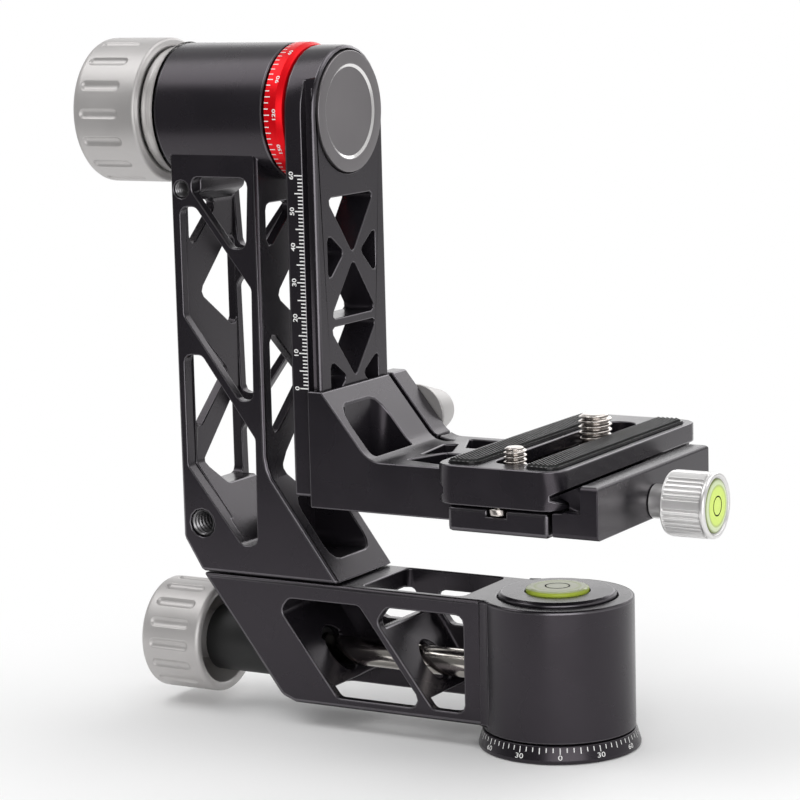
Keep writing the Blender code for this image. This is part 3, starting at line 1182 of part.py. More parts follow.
def knob_grooves():
    """Groups of straight grooves round the clamp's knob, with a plain band after each group."""
    half = CLAMP_KNOB_GROOVE_WIDTH / 2
    floor = CLAMP_KNOB_RADIUS - CLAMP_KNOB_GROOVE_DEPTH
    outline = box_outline(-half, half, floor, CLAMP_KNOB_RADIUS + OVERRUN)
    group_angle = math.tau / CLAMP_KNOB_GROUPS
    mesh = bmesh.new()
    for group in range(CLAMP_KNOB_GROUPS):
        for groove in range(CLAMP_KNOB_GROOVES):
            spin = Matrix.Rotation(group_angle * (group + GROOVE_PITCH_SHARE * groove), MATRIX_SIZE, "X")
            place = Matrix.Translation((0, 0, CLAMP_AXIS_HEIGHT)) @ spin
            add_prism(mesh, outline, "x", CLAMP_KNOB_START + CLAMP_KNOB_RIMS[0],
                      CLAMP_KNOB_END - CLAMP_KNOB_RIMS[1], place)
    return make_object("clamp_knob_grooves", mesh)


def make_clamp_knob():
    axis_place = (0, CLAMP_AXIS_HEIGHT)
    neck_start = CLAMP_JAW_RIGHT + GAP
    bore = CLAMP_STUD_RADIUS + GAP
    bore_end = CLAMP_STUD_END + GAP
    floor = CLAMP_KNOB_END - CLAMP_LEVEL_THICKNESS
    seat = CLAMP_LEVEL_RADIUS + GAP
    edge_radius = CLAMP_KNOB_RADIUS - CLAMP_KNOB_EDGE
    knob = lathe("clamp_knob", [
        (0, bore_end), (bore, bore_end), (bore, neck_start), (CLAMP_KNOB_NECK_RADIUS, neck_start),
        (CLAMP_KNOB_NECK_RADIUS, CLAMP_KNOB_START), (edge_radius, CLAMP_KNOB_START),
        (CLAMP_KNOB_RADIUS, CLAMP_KNOB_START + CLAMP_KNOB_EDGE),
        (CLAMP_KNOB_RADIUS, CLAMP_KNOB_END - CLAMP_KNOB_EDGE), (edge_radius, CLAMP_KNOB_END),
        (seat, CLAMP_KNOB_END), (seat, floor), (0, floor),
    ], "x", axis_place, WIDE_STEPS)
    cut(knob, knob_grooves())
    stud = rod("clamp_stud", CLAMP_STUD_RADIUS, "x", CLAMP_STUD_START, CLAMP_STUD_END, axis_place,
               SMALL_STEPS)
    level = rod("clamp_level", CLAMP_LEVEL_RADIUS, "x", floor + GAP, CLAMP_KNOB_END, axis_place)
    return [finish(stud, "steel"), finish(knob, "silver"), finish(level, "level")]


# Quick-release plate

def plate_profile():
    half = PLATE_HALF_WIDTH
    right = [
        (half, PLATE_BOTTOM), (half, NOTCH_MOUTH[0]), (half - NOTCH_DEPTH, NOTCH_FLOOR[0]),
        (half - NOTCH_DEPTH, NOTCH_FLOOR[1]), (half, NOTCH_MOUTH[1]), (half, PLATE_TOP),
    ]
    return right + [(-across, up) for across, up in reversed(right)]


def pad_outline(side, grow=0.0):
    near, far = (side * edge for edge in PAD_SIDES)
    low, high = min(near, far) - grow, max(near, far) + grow
    return rounded(box_outline(low, high, PAD_ENDS[0] - grow, PAD_ENDS[1] + grow), PAD_CORNER + grow)


def make_plate():
    plate = prism("quick_release_plate", plate_profile(), "y", PLATE_FRONT, PLATE_REAR)
    corner_box = box_outline(-PLATE_HALF_WIDTH, PLATE_HALF_WIDTH, PLATE_FRONT, PLATE_REAR)
    keep = prism("plate_corners", rounded(corner_box, PLATE_CORNER), "z", PLATE_BOTTOM - OVERRUN,
                 PLATE_TOP + OVERRUN)
    use_boolean(plate, keep, "INTERSECT")
    slot_outline = rounded(box_outline(-SLOT_HALF, SLOT_HALF, *SLOT_ENDS), SLOT_HALF, ROUND_STEPS)
    slot = prism("camera_slot", slot_outline, "z", PLATE_BOTTOM - OVERRUN, PLATE_TOP + OVERRUN)
    channel = prism("clip_channel", rounded(box_outline(-CHANNEL_HALF, CHANNEL_HALF, *CHANNEL_ENDS), CHAMFER),
                    "z", PLATE_BOTTOM - OVERRUN, CHANNEL_TOP)
    pads = prisms("pad_seats", [pad_outline(side, GAP) for side in (-1, 1)], "z", PLATE_TOP - PAD_DEPTH - GAP,
                  PLATE_TOP + OVERRUN)
    cut(plate, slot, channel, pads)
    pieces = [finish(plate, "black")]
    for name, side in (("pad_left", -1), ("pad_right", 1)):
        pad = prism(name, pad_outline(side), "z", PLATE_TOP - PAD_DEPTH, PLATE_TOP + PAD_RISE)
        pieces.append(finish(pad, "rubber"))
    shoulder = PLATE_BOTTOM - GAP
    bottom = stop_pin_bottom()
    for name, along in (("stop_pin_front", STOP_PINS[0]), ("stop_pin_rear", STOP_PINS[1])):
        top = shoulder + STOP_PIN_SHANK
        pin = lathe(name, [
            (0, bottom), (STOP_PIN_RADIUS - GAP, bottom), (STOP_PIN_RADIUS, bottom + GAP),
            (STOP_PIN_RADIUS, shoulder),
            (STOP_PIN_SHANK_RADIUS, shoulder), (STOP_PIN_SHANK_RADIUS, top), (0, top),
        ], "z", (0, along), SMALL_STEPS)
        cut(plate, rod(f"{name}_hole", STOP_PIN_SHANK_RADIUS + GAP, "z", PLATE_BOTTOM - OVERRUN, top + GAP,
                       (0, along), SMALL_STEPS))
        pieces.append(finish(pin, "steel"))
    return pieces


def make_camera_screw(size, along, radius, head_radius, rise):
    top = PLATE_TOP + rise
    head_bottom = SCREW_HEAD_TOP - SCREW_HEAD_THICKNESS
    clip_low = SCREW_HEAD_TOP + GAP
    outline = rounded(box_outline(-CLIP_HALF, CLIP_HALF, along - CLIP_HALF, along + CLIP_HALF), CHAMFER)
    clip_top = clip_low + CLIP_THICKNESS
    clip = prism(f"{size}_screw_clip", outline, "z", clip_low, clip_top)
    hole = rod(f"{size}_clip_hole", radius + GAP, "z", clip_low - OVERRUN, clip_top + OVERRUN,
               (0, along), SMALL_STEPS)
    cut(clip, hole)
    screw = lathe(f"{size}_screw", [
        (0, head_bottom), (head_radius, head_bottom), (head_radius, SCREW_HEAD_TOP),
        (radius, SCREW_HEAD_TOP), (radius, top - SCREW_TIP), (radius - SCREW_TIP, top), (0, top),
    ], "z", (0, along))
    return [finish(clip, "steel")], [finish(screw, "steel")]


def gather(name, pivot, pieces):
    """Parents a moving body's pieces to an empty on its joint's axis, and moves their origins there."""
    holder = bpy.data.objects.new(name, None)
    holder.location = pivot
    bpy.context.scene.collection.objects.link(holder)
    for piece in pieces:
        piece.data.transform(Matrix.Translation(-Vector(pivot)))
        piece.parent = holder


def main():
    clear_scene()
    gather("base_body", (0, 0, 0), make_base())
    gather("frame_body", (0, 0, 0), [
        make_lower_arm(), make_upright_arm(), *make_foot_screws(), *make_bearings(), *make_pan_cap(),
        make_pan_sleeve(), make_tilt_collar(),
    ])
    pan_pad, pan_turning = make_pan_brake()
    gather("pan_brake_body", (0, 0, PAN_ROD_HEIGHT), pan_pad)
    gather("pan_knob_body", (PAN_KNOB_RIM, 0, PAN_ROD_HEIGHT), pan_turning)
    tilt_pad, tilt_turning = make_tilt_brake()
    gather("tilt_brake_body", (TILT_SHAFT_END, 0, TILT_HEIGHT), tilt_pad)
    gather("tilt_knob_body", (TILT_KNOB_RIM, 0, TILT_HEIGHT), tilt_turning)
    gather("swing_body", (0, 0, TILT_HEIGHT), make_swing())
    gather("platform_body", (SWING_FRONT, 0, BRACKET_BOTTOM), [
        make_bracket(), make_clamp_body(), *make_clamp_bolts(),
    ])
    stud_place = (HEIGHT_STUD[0], BRACKET_REAR, HEIGHT_STUD[1])
    gather("split_jaw_body", stud_place, [make_split_jaw()])
    gather("height_knob_body", stud_place, make_height_knob())
    gather("clamp_jaw_body", (CLAMP_JAW_RIGHT, 0, CLAMP_AXIS_HEIGHT), make_clamp_jaw())
    gather("clamp_knob_body", (CLAMP_KNOB_START, 0, CLAMP_AXIS_HEIGHT), make_clamp_knob())
    gather("plate_body", (0, 0, PLATE_BOTTOM), make_plate())
    for size, along, radius, head_radius, rise in (
        ("small", SMALL_SCREW_PLACE, SMALL_SCREW_RADIUS, SMALL_SCREW_HEAD_RADIUS, SMALL_SCREW_RISE),
        ("large", LARGE_SCREW_PLACE, LARGE_SCREW_RADIUS, LARGE_SCREW_HEAD_RADIUS, LARGE_SCREW_RISE),
    ):
        clip, screw = make_camera_screw(size, along, radius, head_radius, rise)
        gather(f"{size}_clip_body", (0, along, SCREW_HEAD_TOP), clip)
        gather(f"{size}_screw_body", (0, along, SCREW_HEAD_TOP), screw)


main()
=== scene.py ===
"""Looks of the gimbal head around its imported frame. Metres, +Z up, +X towards the clamp's knob."""

import json
import math

import bmesh
import bpy
from mathutils import Matrix, Vector


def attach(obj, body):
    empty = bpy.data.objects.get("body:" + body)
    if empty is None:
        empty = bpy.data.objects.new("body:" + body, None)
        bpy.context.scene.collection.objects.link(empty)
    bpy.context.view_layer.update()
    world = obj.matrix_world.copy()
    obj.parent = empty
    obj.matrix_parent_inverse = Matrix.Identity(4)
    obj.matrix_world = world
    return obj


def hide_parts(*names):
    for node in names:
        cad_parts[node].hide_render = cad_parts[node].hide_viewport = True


MM = 0.001
TILT_HEIGHT = 0.1761
ROD_HEIGHT = 0.0196
CLAMP_AXIS = 0.0712
LIFT = 0.00003
MARK_WIDTH = 0.00027
ROUND_STEPS = 160
KNOB_SLOTS = 16
PITCH = math.tau / KNOB_SLOTS
SHARP_ANGLE = 32.0
FLAT_ANGLE = 0.2

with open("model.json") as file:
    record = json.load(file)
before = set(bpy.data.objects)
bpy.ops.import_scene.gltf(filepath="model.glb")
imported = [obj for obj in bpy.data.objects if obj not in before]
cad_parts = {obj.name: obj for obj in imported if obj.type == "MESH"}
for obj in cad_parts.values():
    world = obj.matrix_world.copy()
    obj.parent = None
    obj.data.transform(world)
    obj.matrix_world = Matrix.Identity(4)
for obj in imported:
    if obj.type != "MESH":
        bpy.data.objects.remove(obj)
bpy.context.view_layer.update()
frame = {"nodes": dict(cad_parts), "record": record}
bodies = frame["record"]["behaviour"]["bodies"]
body_of = {node: body for body, nodes in bodies.items() for node in nodes}
slot_of = {row["node"]: row["material_slot"] for row in frame["record"]["subparts"]}


# Materials

# The noise stays between these two values nearly everywhere.
NOISE_LOW, NOISE_HIGH = 0.3, 0.7
SLOW_SCALE = 55.0
FINE_SCALE = 5200.0
GRAIN_DEPTH = 0.00006


def ranged(tree, value, low, high, to_low, to_high, smooth=False):
    """A value taken from one range to another, and held at its ends."""
    node = tree.nodes.new("ShaderNodeMapRange")
    if smooth:
        node.interpolation_type = "SMOOTHSTEP"
    node.inputs["From Min"].default_value = low
    node.inputs["From Max"].default_value = high
    node.inputs["To Min"].default_value = to_low
    node.inputs["To Max"].default_value = to_high
    tree.links.new(value, node.inputs["Value"])
    return node


class Nodes:
    """A material's node tree, with its main shader and the object's own coordinates at hand."""

    def __init__(self, name):
        self.material = bpy.data.materials.new(name)
        self.material.use_nodes = True
        self.tree = self.material.node_tree
        self.shader = self.tree.nodes["Principled BSDF"]
        self.place = self.add("ShaderNodeTexCoord").outputs["Object"]

    def add(self, kind, **settings):
        node = self.tree.nodes.new(kind)
        for key, value in settings.items():
            setattr(node, key, value)
        return node

    def link(self, source, target):
        self.tree.links.new(source, target)

    def noise(self, scale, detail=3.0, stretch=None):
        node = self.add("ShaderNodeTexNoise")
        node.inputs["Scale"].default_value = scale
        node.inputs["Detail"].default_value = detail
        source = self.place
        if stretch:
            mapping = self.add("ShaderNodeMapping")
            mapping.inputs["Scale"].default_value = stretch
            self.link(source, mapping.inputs["Vector"])
            source = mapping.outputs["Vector"]
        self.link(source, node.inputs["Vector"])
        return node.outputs["Fac"]

    def ramp(self, value, stops):
        node = self.add("ShaderNodeValToRGB")
        elements = node.color_ramp.elements
        while len(elements) < len(stops):
            elements.new(1.0)
        for element, (position, colour) in zip(elements, stops):
            element.position = position
            element.color = (*colour, 1.0)
        self.link(value, node.inputs["Fac"])
        return node.outputs["Color"]

    def spread(self, value, middle, reach, name):
        """One of the shader's numbers that changes with a noise, by no more than reach."""
        node = ranged(self.tree, value, NOISE_LOW, NOISE_HIGH, middle - reach, middle + reach)
        self.link(node.outputs["Result"], self.shader.inputs[name])

    def bump(self, value, strength, distance):
        node = self.add("ShaderNodeBump")
        node.inputs["Strength"].default_value = strength
        node.inputs["Distance"].default_value = distance
        self.link(value, node.inputs["Height"])
        self.link(node.outputs["Normal"], self.shader.inputs["Normal"])

    def fixed(self, **values):
        for key, value in values.items():
            self.shader.inputs[key.replace("_", " ")].default_value = value


def grained(name, dark, light, roughness, metallic, grain, specular=0.5, scale=FINE_SCALE,
            stretch=None, tint=(1.0, 1.0, 1.0, 1.0)):
    """A metal or rubber with a fine surface grain and slow changes of tone."""
    nodes = Nodes(name)
    nodes.fixed(Metallic=metallic, Specular_IOR_Level=specular, Specular_Tint=tint)
    slow = nodes.noise(SLOW_SCALE, 4.0)
    colour = nodes.ramp(slow, [(NOISE_LOW, dark), (NOISE_HIGH, light)])
    nodes.link(colour, nodes.shader.inputs["Base Color"])
    fine = nodes.noise(scale, 2.0, stretch)
    nodes.spread(slow, roughness, 0.03, "Roughness")
    nodes.bump(fine, grain, GRAIN_DEPTH)
    return nodes.material


def plain(name, colour, roughness, specular=0.5):
    """A paint with slow changes of tone."""
    nodes = Nodes(name)
    nodes.fixed(Specular_IOR_Level=specular)
    slow = nodes.noise(90.0)
    shade = tuple(0.9 * channel for channel in colour)
    mixed = nodes.ramp(slow, [(NOISE_LOW, shade), (NOISE_HIGH, colour)])
    nodes.link(mixed, nodes.shader.inputs["Base Color"])
    nodes.spread(slow, roughness, 0.02, "Roughness")
    return nodes.material


def vial(name, centre, axis, stops, radius, gloss):
    """A clear liquid level: rings of colour by the distance from its axis, under a glossy top. The
    rings paint the light and shade that a clear liquid shows.
    """
    nodes = Nodes(name)
    nodes.fixed(Specular_IOR_Level=0.0, Coat_Weight=gloss, Coat_Roughness=0.04, Roughness=0.30)
    shift = nodes.add("ShaderNodeVectorMath", operation="SUBTRACT")
    shift.inputs[1].default_value = centre
    nodes.link(nodes.place, shift.inputs[0])
    flat = nodes.add("ShaderNodeVectorMath", operation="MULTIPLY")
    flat.inputs[1].default_value = [0.0 if i == axis else 1.0 / radius for i in range(3)]
    nodes.link(shift.outputs["Vector"], flat.inputs[0])
    length = nodes.add("ShaderNodeVectorMath", operation="LENGTH")
    nodes.link(flat.outputs["Vector"], length.inputs[0])
    nodes.link(nodes.ramp(length.outputs["Value"], stops), nodes.shader.inputs["Base Color"])
    nodes.bump(nodes.noise(240.0), 0.05, 0.0002)
    return nodes.material


BLACK = grained(
    "black_anodised", (0.0080, 0.0072, 0.0092), (0.0115, 0.0102, 0.0128),
    roughness=0.27, metallic=0.0, grain=0.10, specular=0.48, tint=(1.0, 0.90, 1.0, 1.0),
)
# A lighter metal for the rounded edges of black pieces: a painted highlight of the light that the
# edges catch.
EDGE_HIGHLIGHT = grained(
    "edge_painted_highlight", (0.115, 0.108, 0.118), (0.150, 0.141, 0.153),
    roughness=0.30, metallic=1.0, grain=0.06,
)
DARK = grained(
    "dark_sleeve", (0.0080, 0.0080, 0.0085), (0.0130, 0.0130, 0.0130),
    roughness=0.50, metallic=0.0, grain=0.10, specular=0.40,
)
SILVER = grained(
    "silver_anodised", (0.47, 0.456, 0.450), (0.52, 0.505, 0.499),
    roughness=0.46, metallic=0.60, grain=0.09, specular=0.4,
)
BRIGHT = grained(
    "bright_silver", (0.80, 0.79, 0.785), (0.86, 0.85, 0.845),
    roughness=0.24, metallic=1.0, grain=0.03,
)
TURNED = grained(
    "turned_silver", (0.74, 0.73, 0.725), (0.80, 0.79, 0.785),
    roughness=0.33, metallic=0.75, grain=0.10, scale=900.0, stretch=(0.05, 1.0, 1.0),
)
GREY = grained(
    "grey_cap", (0.215, 0.203, 0.211), (0.240, 0.228, 0.235),
    roughness=0.40, metallic=0.9, grain=0.08,
)
RED = grained(
    "red_anodised", (0.70, 0.0015, 0.006), (0.82, 0.002, 0.009),
    roughness=0.36, metallic=0.50, grain=0.06, specular=0.22,
)
CHROME = grained(
    "chrome_rod", (0.70, 0.66, 0.61), (0.78, 0.74, 0.69),
    roughness=0.16, metallic=1.0, grain=0.02,
)
STEEL = grained(
    "screw_steel", (0.50, 0.46, 0.43), (0.60, 0.56, 0.53),
    roughness=0.22, metallic=1.0, grain=0.03,
)
BRASS = grained(
    "brass", (0.56, 0.38, 0.14), (0.64, 0.45, 0.19),
    roughness=0.34, metallic=1.0, grain=0.06,
)
RUBBER = grained(
    "rubber", (0.0085, 0.0085, 0.0088), (0.0150, 0.0150, 0.0152),
    roughness=0.24, metallic=0.0, grain=0.06, scale=3800.0,
)
THREAD = grained(
    "cut_thread", (0.22, 0.215, 0.222), (0.28, 0.275, 0.282),
    roughness=0.28, metallic=0.9, grain=0.05,
)
WHITE = plain("white_marks", (0.80, 0.80, 0.79), 0.50)
BLACK_MARK = plain("black_marks", (0.006, 0.007, 0.004), 0.40, specular=0.0)
# The levels' colours, from the middle of a level to its rim: the liquid's green, with the light and
# shade of a clear liquid painted in as rings. The darker rings and the dark rim are painted shade,
# and the pale rings are a painted reflection.
GREEN = [
    (0.0, (0.66, 0.84, 0.13)), (0.66, (0.62, 0.80, 0.12)), (0.74, (0.40, 0.50, 0.12)),
    (0.80, (0.62, 0.72, 0.42)), (0.90, (0.58, 0.66, 0.42)), (0.97, (0.13, 0.17, 0.03)),
]
# The base level's liquid is pale green. It is lightened towards white in the middle: a painted
# reflection, and painted light against the shade under the clamp.
PALE_GREEN = [
    (0.0, (0.93, 0.97, 0.72)), (0.60, (0.92, 0.96, 0.66)), (0.72, (0.74, 0.84, 0.36)),
    (0.80, (0.90, 0.95, 0.68)), (0.93, (0.86, 0.93, 0.58)), (0.985, (0.50, 0.62, 0.07)),
]
SLOT_LOOKS = {
    "black_anodised": BLACK, "dark_sleeve": DARK, "silver_anodised": SILVER, "grey_cap": GREY,
    "red_ring": RED, "chrome_rod": CHROME, "steel": STEEL, "brass": BRASS, "rubber": RUBBER,
}


# Making pieces

def mesh_data(name, mesh):
    """A mesh from a bmesh, which is used up."""
    data = bpy.data.meshes.new(name)
    mesh.to_mesh(data)
    mesh.free()
    return data


def add_object(name, data):
    piece = bpy.data.objects.new(name, data)
    bpy.context.scene.collection.objects.link(piece)
    return piece


def new_piece(name, mesh, look, body, slot, *nodes):
    """An object from a bmesh that rides on a body, and stands for the nodes named."""
    data = mesh_data(name, mesh)
    data.materials.append(look)
    for polygon in data.polygons:
        polygon.use_smooth = True
    piece = add_object(name, data)
    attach(piece, body)
    if nodes:
        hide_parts(*nodes)
    return piece


def even_normals(piece, by_strength=False):
    """Keeps the large faces of a piece flat where they meet small rounded ones."""
    normals = piece.modifiers.new("normals", "WEIGHTED_NORMAL")
    normals.mode = "FACE_AREA"
    normals.weight = 100
    normals.keep_sharp = True
    normals.use_face_influence = by_strength
    return piece


def soften(piece, width, clamp, edge):
    """Rounds the outer edges of a piece, in their own material if one is given: on black pieces a
    lighter metal, which is a painted highlight on the edges.
    """
    edges = piece.modifiers.new("edges", "BEVEL")
    edges.width = width
    edges.segments = 2
    edges.limit_method = "WEIGHT"
    edges.use_clamp_overlap = clamp
    edges.miter_outer = "MITER_SHARP"
    edges.loop_slide = False
    edges.face_strength_mode = "FSTR_ALL"
    if edge:
        piece.data.materials.append(edge)
        edges.material = 1
    return even_normals(piece, by_strength=True)


def mark_edges(mesh, angle):
    """Of the edges sharper than an angle, marks the outer ones for soften() and keeps the inner
    ones sharp."""
    layer = mesh.edges.layers.float.new("bevel_weight_edge")
    for edge in mesh.edges:
        if len(edge.link_faces) != 2 or edge.calc_face_angle() < math.radians(angle):
            continue
        if edge.is_convex:
            edge[layer] = 1.0
        else:
            edge.smooth = False


def dress(node, width, look=None, clamp=False, angle=SHARP_ANGLE):
    """A copy of a CAD node with rounded outer edges, which stands for it. Its flat faces are cut
    anew, so that no needle of a triangle is left that the rounding would fold over."""
    mesh = bmesh.new()
    mesh.from_mesh(frame["nodes"][node].data)
    bmesh.ops.remove_doubles(mesh, verts=mesh.verts, dist=0.000004)
    bmesh.ops.dissolve_degenerate(mesh, edges=mesh.edges, dist=0.00002)
    bmesh.ops.dissolve_limit(
        mesh, angle_limit=math.radians(FLAT_ANGLE), use_dissolve_boundaries=False,
        verts=mesh.verts, edges=mesh.edges,
    )
    bmesh.ops.triangulate(mesh, faces=mesh.faces, quad_method="BEAUTY", ngon_method="BEAUTY")
    mark_edges(mesh, angle)
    slot = slot_of[node]
    look = look or SLOT_LOOKS[slot]
    piece = new_piece(f"{node}_surface", mesh, look, body_of[node], slot, node)
    # Black pieces get the lighter edge metal on their rounded edges, a painted highlight.
    return soften(piece, width, clamp, EDGE_HIGHLIGHT if look is BLACK else None)


def fillet(points, steps=5):
    """The points of a profile. One of (radius, along, rounding) has its corner as an arc."""
    flat = [Vector(point[:2]) for point in points]
    result = []
    for i, point in enumerate(points):
        if len(point) < 3 or i in (0, len(points) - 1):
            result.append(tuple(flat[i]))
            continue
        here = flat[i]
        before = flat[i - 1] - here
        after = flat[i + 1] - here
        half = before.angle(after) / 2
        reach = min(point[2] / math.tan(half), 0.49 * before.length, 0.49 * after.length)
        size = reach * math.tan(half)
        between = (before.normalized() + after.normalized()).normalized()
        centre = here + between * size / math.sin(half)
        start = here + before.normalized() * reach - centre
        end = here + after.normalized() * reach - centre
        first = math.atan2(start.y, start.x)
        turn = (math.atan2(end.y, end.x) - first + math.pi) % math.tau - math.pi
        for step in range(steps + 1):
            angle = first + turn * step / steps
            result.append((centre.x + size * math.cos(angle), centre.y + size * math.sin(angle)))
    return result


def at(axis, centre, radius, angle, along):
    """A point from its distance and turn about an axis, and its place along it."""
    a, b = radius * math.cos(angle), radius * math.sin(angle)
    if axis == "x":
        return Vector((along, centre[0] + a, centre[1] + b))
    if axis == "y":
        return Vector((centre[0] + a, along, centre[1] + b))
    return Vector((centre[0] + a, centre[1] + b, along))


def add_ring(mesh, axis, centre, radius, along, steps):
    """Vertices round an axis, or one on it where the radius is zero."""
    turns = [math.tau * i / steps for i in range(steps if radius > 0.0 else 1)]
    return [mesh.verts.new(at(axis, centre, radius, angle, along)) for angle in turns]


def add_rings(mesh, axis, centre, points, steps):
    """A ring of vertices for each (radius, along) point of a profile."""
    return [add_ring(mesh, axis, centre, radius, along, steps) for radius, along in points]


def join_rings(mesh, rings):
    """Faces from each ring of vertices to the next one. A ring of one vertex closes an end."""
    steps = max(len(ring) for ring in rings)
    for ring, other in zip(rings, rings[1:]):
        for i in range(steps):
            j = i + 1
            corners = dict.fromkeys((
                ring[i % len(ring)], ring[j % len(ring)],
                other[j % len(other)], other[i % len(other)],
            ))
            if len(corners) > 2:
                mesh.faces.new(list(corners))


def turned(points, axis, centre=(0.0, 0.0), steps=128):
    """Faces turned about an axis from an open or closed profile of (radius, along) points."""
    mesh = bmesh.new()
    join_rings(mesh, add_rings(mesh, axis, centre, points, steps))
    bmesh.ops.recalc_face_normals(mesh, faces=mesh.faces)
    return mesh


def cut_mesh(piece, tool, name):
    """Cuts the shape of a bmesh out of a piece."""
    cutter = add_object(name, mesh_data(name, tool))
    modifier = piece.modifiers.new(name, "BOOLEAN")
    modifier.object = cutter
    modifier.solver = "EXACT"
    graph = bpy.context.evaluated_depsgraph_get()
    result = bpy.data.meshes.new_from_object(piece.evaluated_get(graph))
    piece.modifiers.clear()
    piece.data = result
    bpy.data.objects.remove(cutter)


def add_block(mesh, outline, low, high):
    """A straight block on an outline in the XY plane."""
    ends = [[mesh.verts.new((x, y, level)) for x, y in outline] for level in (low, high)]
    mesh.faces.new(list(reversed(ends[0])))
    mesh.faces.new(ends[1])
    join_rings(mesh, ends)


# Marks and figures

DIAL_STEP, DIAL_LONG, DIAL_FIGURE = 5, 15, 30


def figure(text, height, stretch=1.0, bold=0.018):
    """Outlines of a number as faces, centred on zero: a list of lists of (x, y) points."""
    curve = bpy.data.curves.new("figure", "FONT")
    curve.body = text
    curve.align_x = "CENTER"
    curve.resolution_u = 3
    curve.offset = bold
    holder = add_object("figure", curve)
    graph = bpy.context.evaluated_depsgraph_get()
    mesh = bpy.data.meshes.new_from_object(holder.evaluated_get(graph))
    bpy.data.objects.remove(holder)
    tall = max(v.co.y for v in mesh.vertices)
    scale = height / tall
    points = [(v.co.x * scale * stretch, (v.co.y - tall / 2) * scale) for v in mesh.vertices]
    faces = [[points[i] for i in polygon.vertices] for polygon in mesh.polygons]
    bpy.data.meshes.remove(mesh)
    return faces


def bar(x, y, width, height):
    low_x, high_x = x - width / 2, x + width / 2
    low_y, high_y = y - height / 2, y + height / 2
    return [(low_x, low_y), (high_x, low_y), (high_x, high_y), (low_x, high_y)]


def marks(name, shapes, place, body, slot):
    """Printed marks: flat shapes, each put on its surface by place(x, y)."""
    mesh = bmesh.new()
    for shape in shapes:
        mesh.faces.new([mesh.verts.new(place(x, y)) for x, y in shape])
    return new_piece(name, mesh, WHITE, body, slot)


def moved(faces, x, y, turn=0.0):
    c, s = math.cos(turn), math.sin(turn)
    return [[(x + c * a - s * b, y + s * a + c * b) for a, b in face] for face in faces]


# Base and pan housing

def make_base():
    radius, top_radius, hole = 0.0228, 0.0216, 0.0068
    flare, top, floor = 0.0010, 0.0048, 0.0021
    new_piece("degree_ring_surface", turned(fillet([
        (hole, 0.0), (radius, 0.0, 0.0003), (radius, flare, 0.0006), (top_radius, top, 0.0003),
        (0.0153, top), (0.0153, floor), (hole, floor), (hole, 0.0),
    ]), "z", steps=ROUND_STEPS), BLACK, "base", "black_anodised", "degree_ring")
    for node in ("base_screw_1", "base_screw_2", "base_screw_3"):
        dress(node, 0.0002)
    dress("tripod_insert", 0.0003)
    zero = math.radians(27.0 - 90.0)
    middle_radius = (radius + top_radius) / 2
    mark_top, figure_height = 0.0044, 0.0019

    def on_cone(x, y):
        size = top_radius + (top - y) * (radius - top_radius) / (top - flare) + LIFT
        return at("z", (0.0, 0.0), size, zero + x / middle_radius, y)

    shapes = []
    for degrees in range(-180, 180, DIAL_STEP):
        length = 0.00120 if degrees % DIAL_LONG else 0.00165
        x = math.radians(degrees) * middle_radius
        shapes.append(bar(x, mark_top - length / 2, MARK_WIDTH, length))
        if degrees % DIAL_FIGURE == 0 and degrees > -180:
            shapes += moved(figure(str(abs(degrees)), 0.00130, 1.4, 0.004), x, figure_height)
    marks("degree_marks", shapes, on_cone, "base", "black_anodised")


def make_levels():
    base = vial("base_vial", (0.0, 0.0, 0.0), 2, PALE_GREEN, 0.0089, 0.55)
    bottom, top = 0.0424, 0.0449
    new_piece("base_level_surface", turned(fillet([
        (0.0, bottom), (0.0089, bottom), (0.0089, top - 0.0004, 0.0006), (0.0078, top, 0.0006),
        (0.0, top),
    ]), "z"), base, "frame", "bubble_level", "base_level")
    new_piece("base_level_mark", turned([
        (0.00315, top + LIFT), (0.00355, top + LIFT),
    ], "z", steps=64), BLACK_MARK, "frame", "bubble_level")
    clamp = vial("clamp_vial", (0.0, 0.0, CLAMP_AXIS), 0, GREEN, 0.0075, 1.0)
    start, end = 0.0472, 0.0486
    new_piece("clamp_level_surface", turned(fillet([
        (0.0, start), (0.0075, start), (0.0075, end - 0.0004, 0.0003), (0.0064, end, 0.0005),
        (0.0, end),
    ]), "x", (0.0, CLAMP_AXIS)), clamp, "clamp_knob", "bubble_level", "clamp_level")
    new_piece("clamp_level_mark", turned([
        (0.00245, end + LIFT), (0.00280, end + LIFT),
    ], "x", (0.0, CLAMP_AXIS), 64), BLACK_MARK, "clamp_knob", "bubble_level")


# Knobs

SLOT_HALF = 0.00145
SLOT_BORDER = 0.0002
# How far in from the slot's rim, and how deep, its rounded floor goes.
SLOT_STEPS = (
    (0.00020, 0.0), (0.00008, 0.00002), (-0.00006, 0.00010), (-0.00020, 0.00024),
    (-0.00040, 0.00042), (-0.00070, 0.00060), (-0.00105, 0.00069), (-0.00140, 0.00071),
)


def slot_rows(radius, low, high, middle, length):
    """The lines of a slot's patch, round its rim. Each is (side, along, core, out_side, out_along):
    where it starts on the rim, and the slot's core with the way out from there."""
    across, along = 10, 5
    reach = length / 2 - SLOT_HALF
    side = PITCH * radius
    rows = []
    for end in (1.0, -1.0):
        edge, other = (high, low) if end > 0.0 else (low, high)
        tip = middle + end * reach
        for i in range(across):
            angle = math.pi * i / across
            out_side, out = -end * math.cos(angle), end * math.sin(angle)
            rows.append((end * (i / across - 0.5) * side, edge, tip, out_side, out))
        for i in range(along):
            part = i / along
            place = edge + (other - edge) * part
            core = middle + end * reach * (1.0 - 2.0 * part)
            rows.append((end * 0.5 * side, place, core, end, 0.0))
    return rows


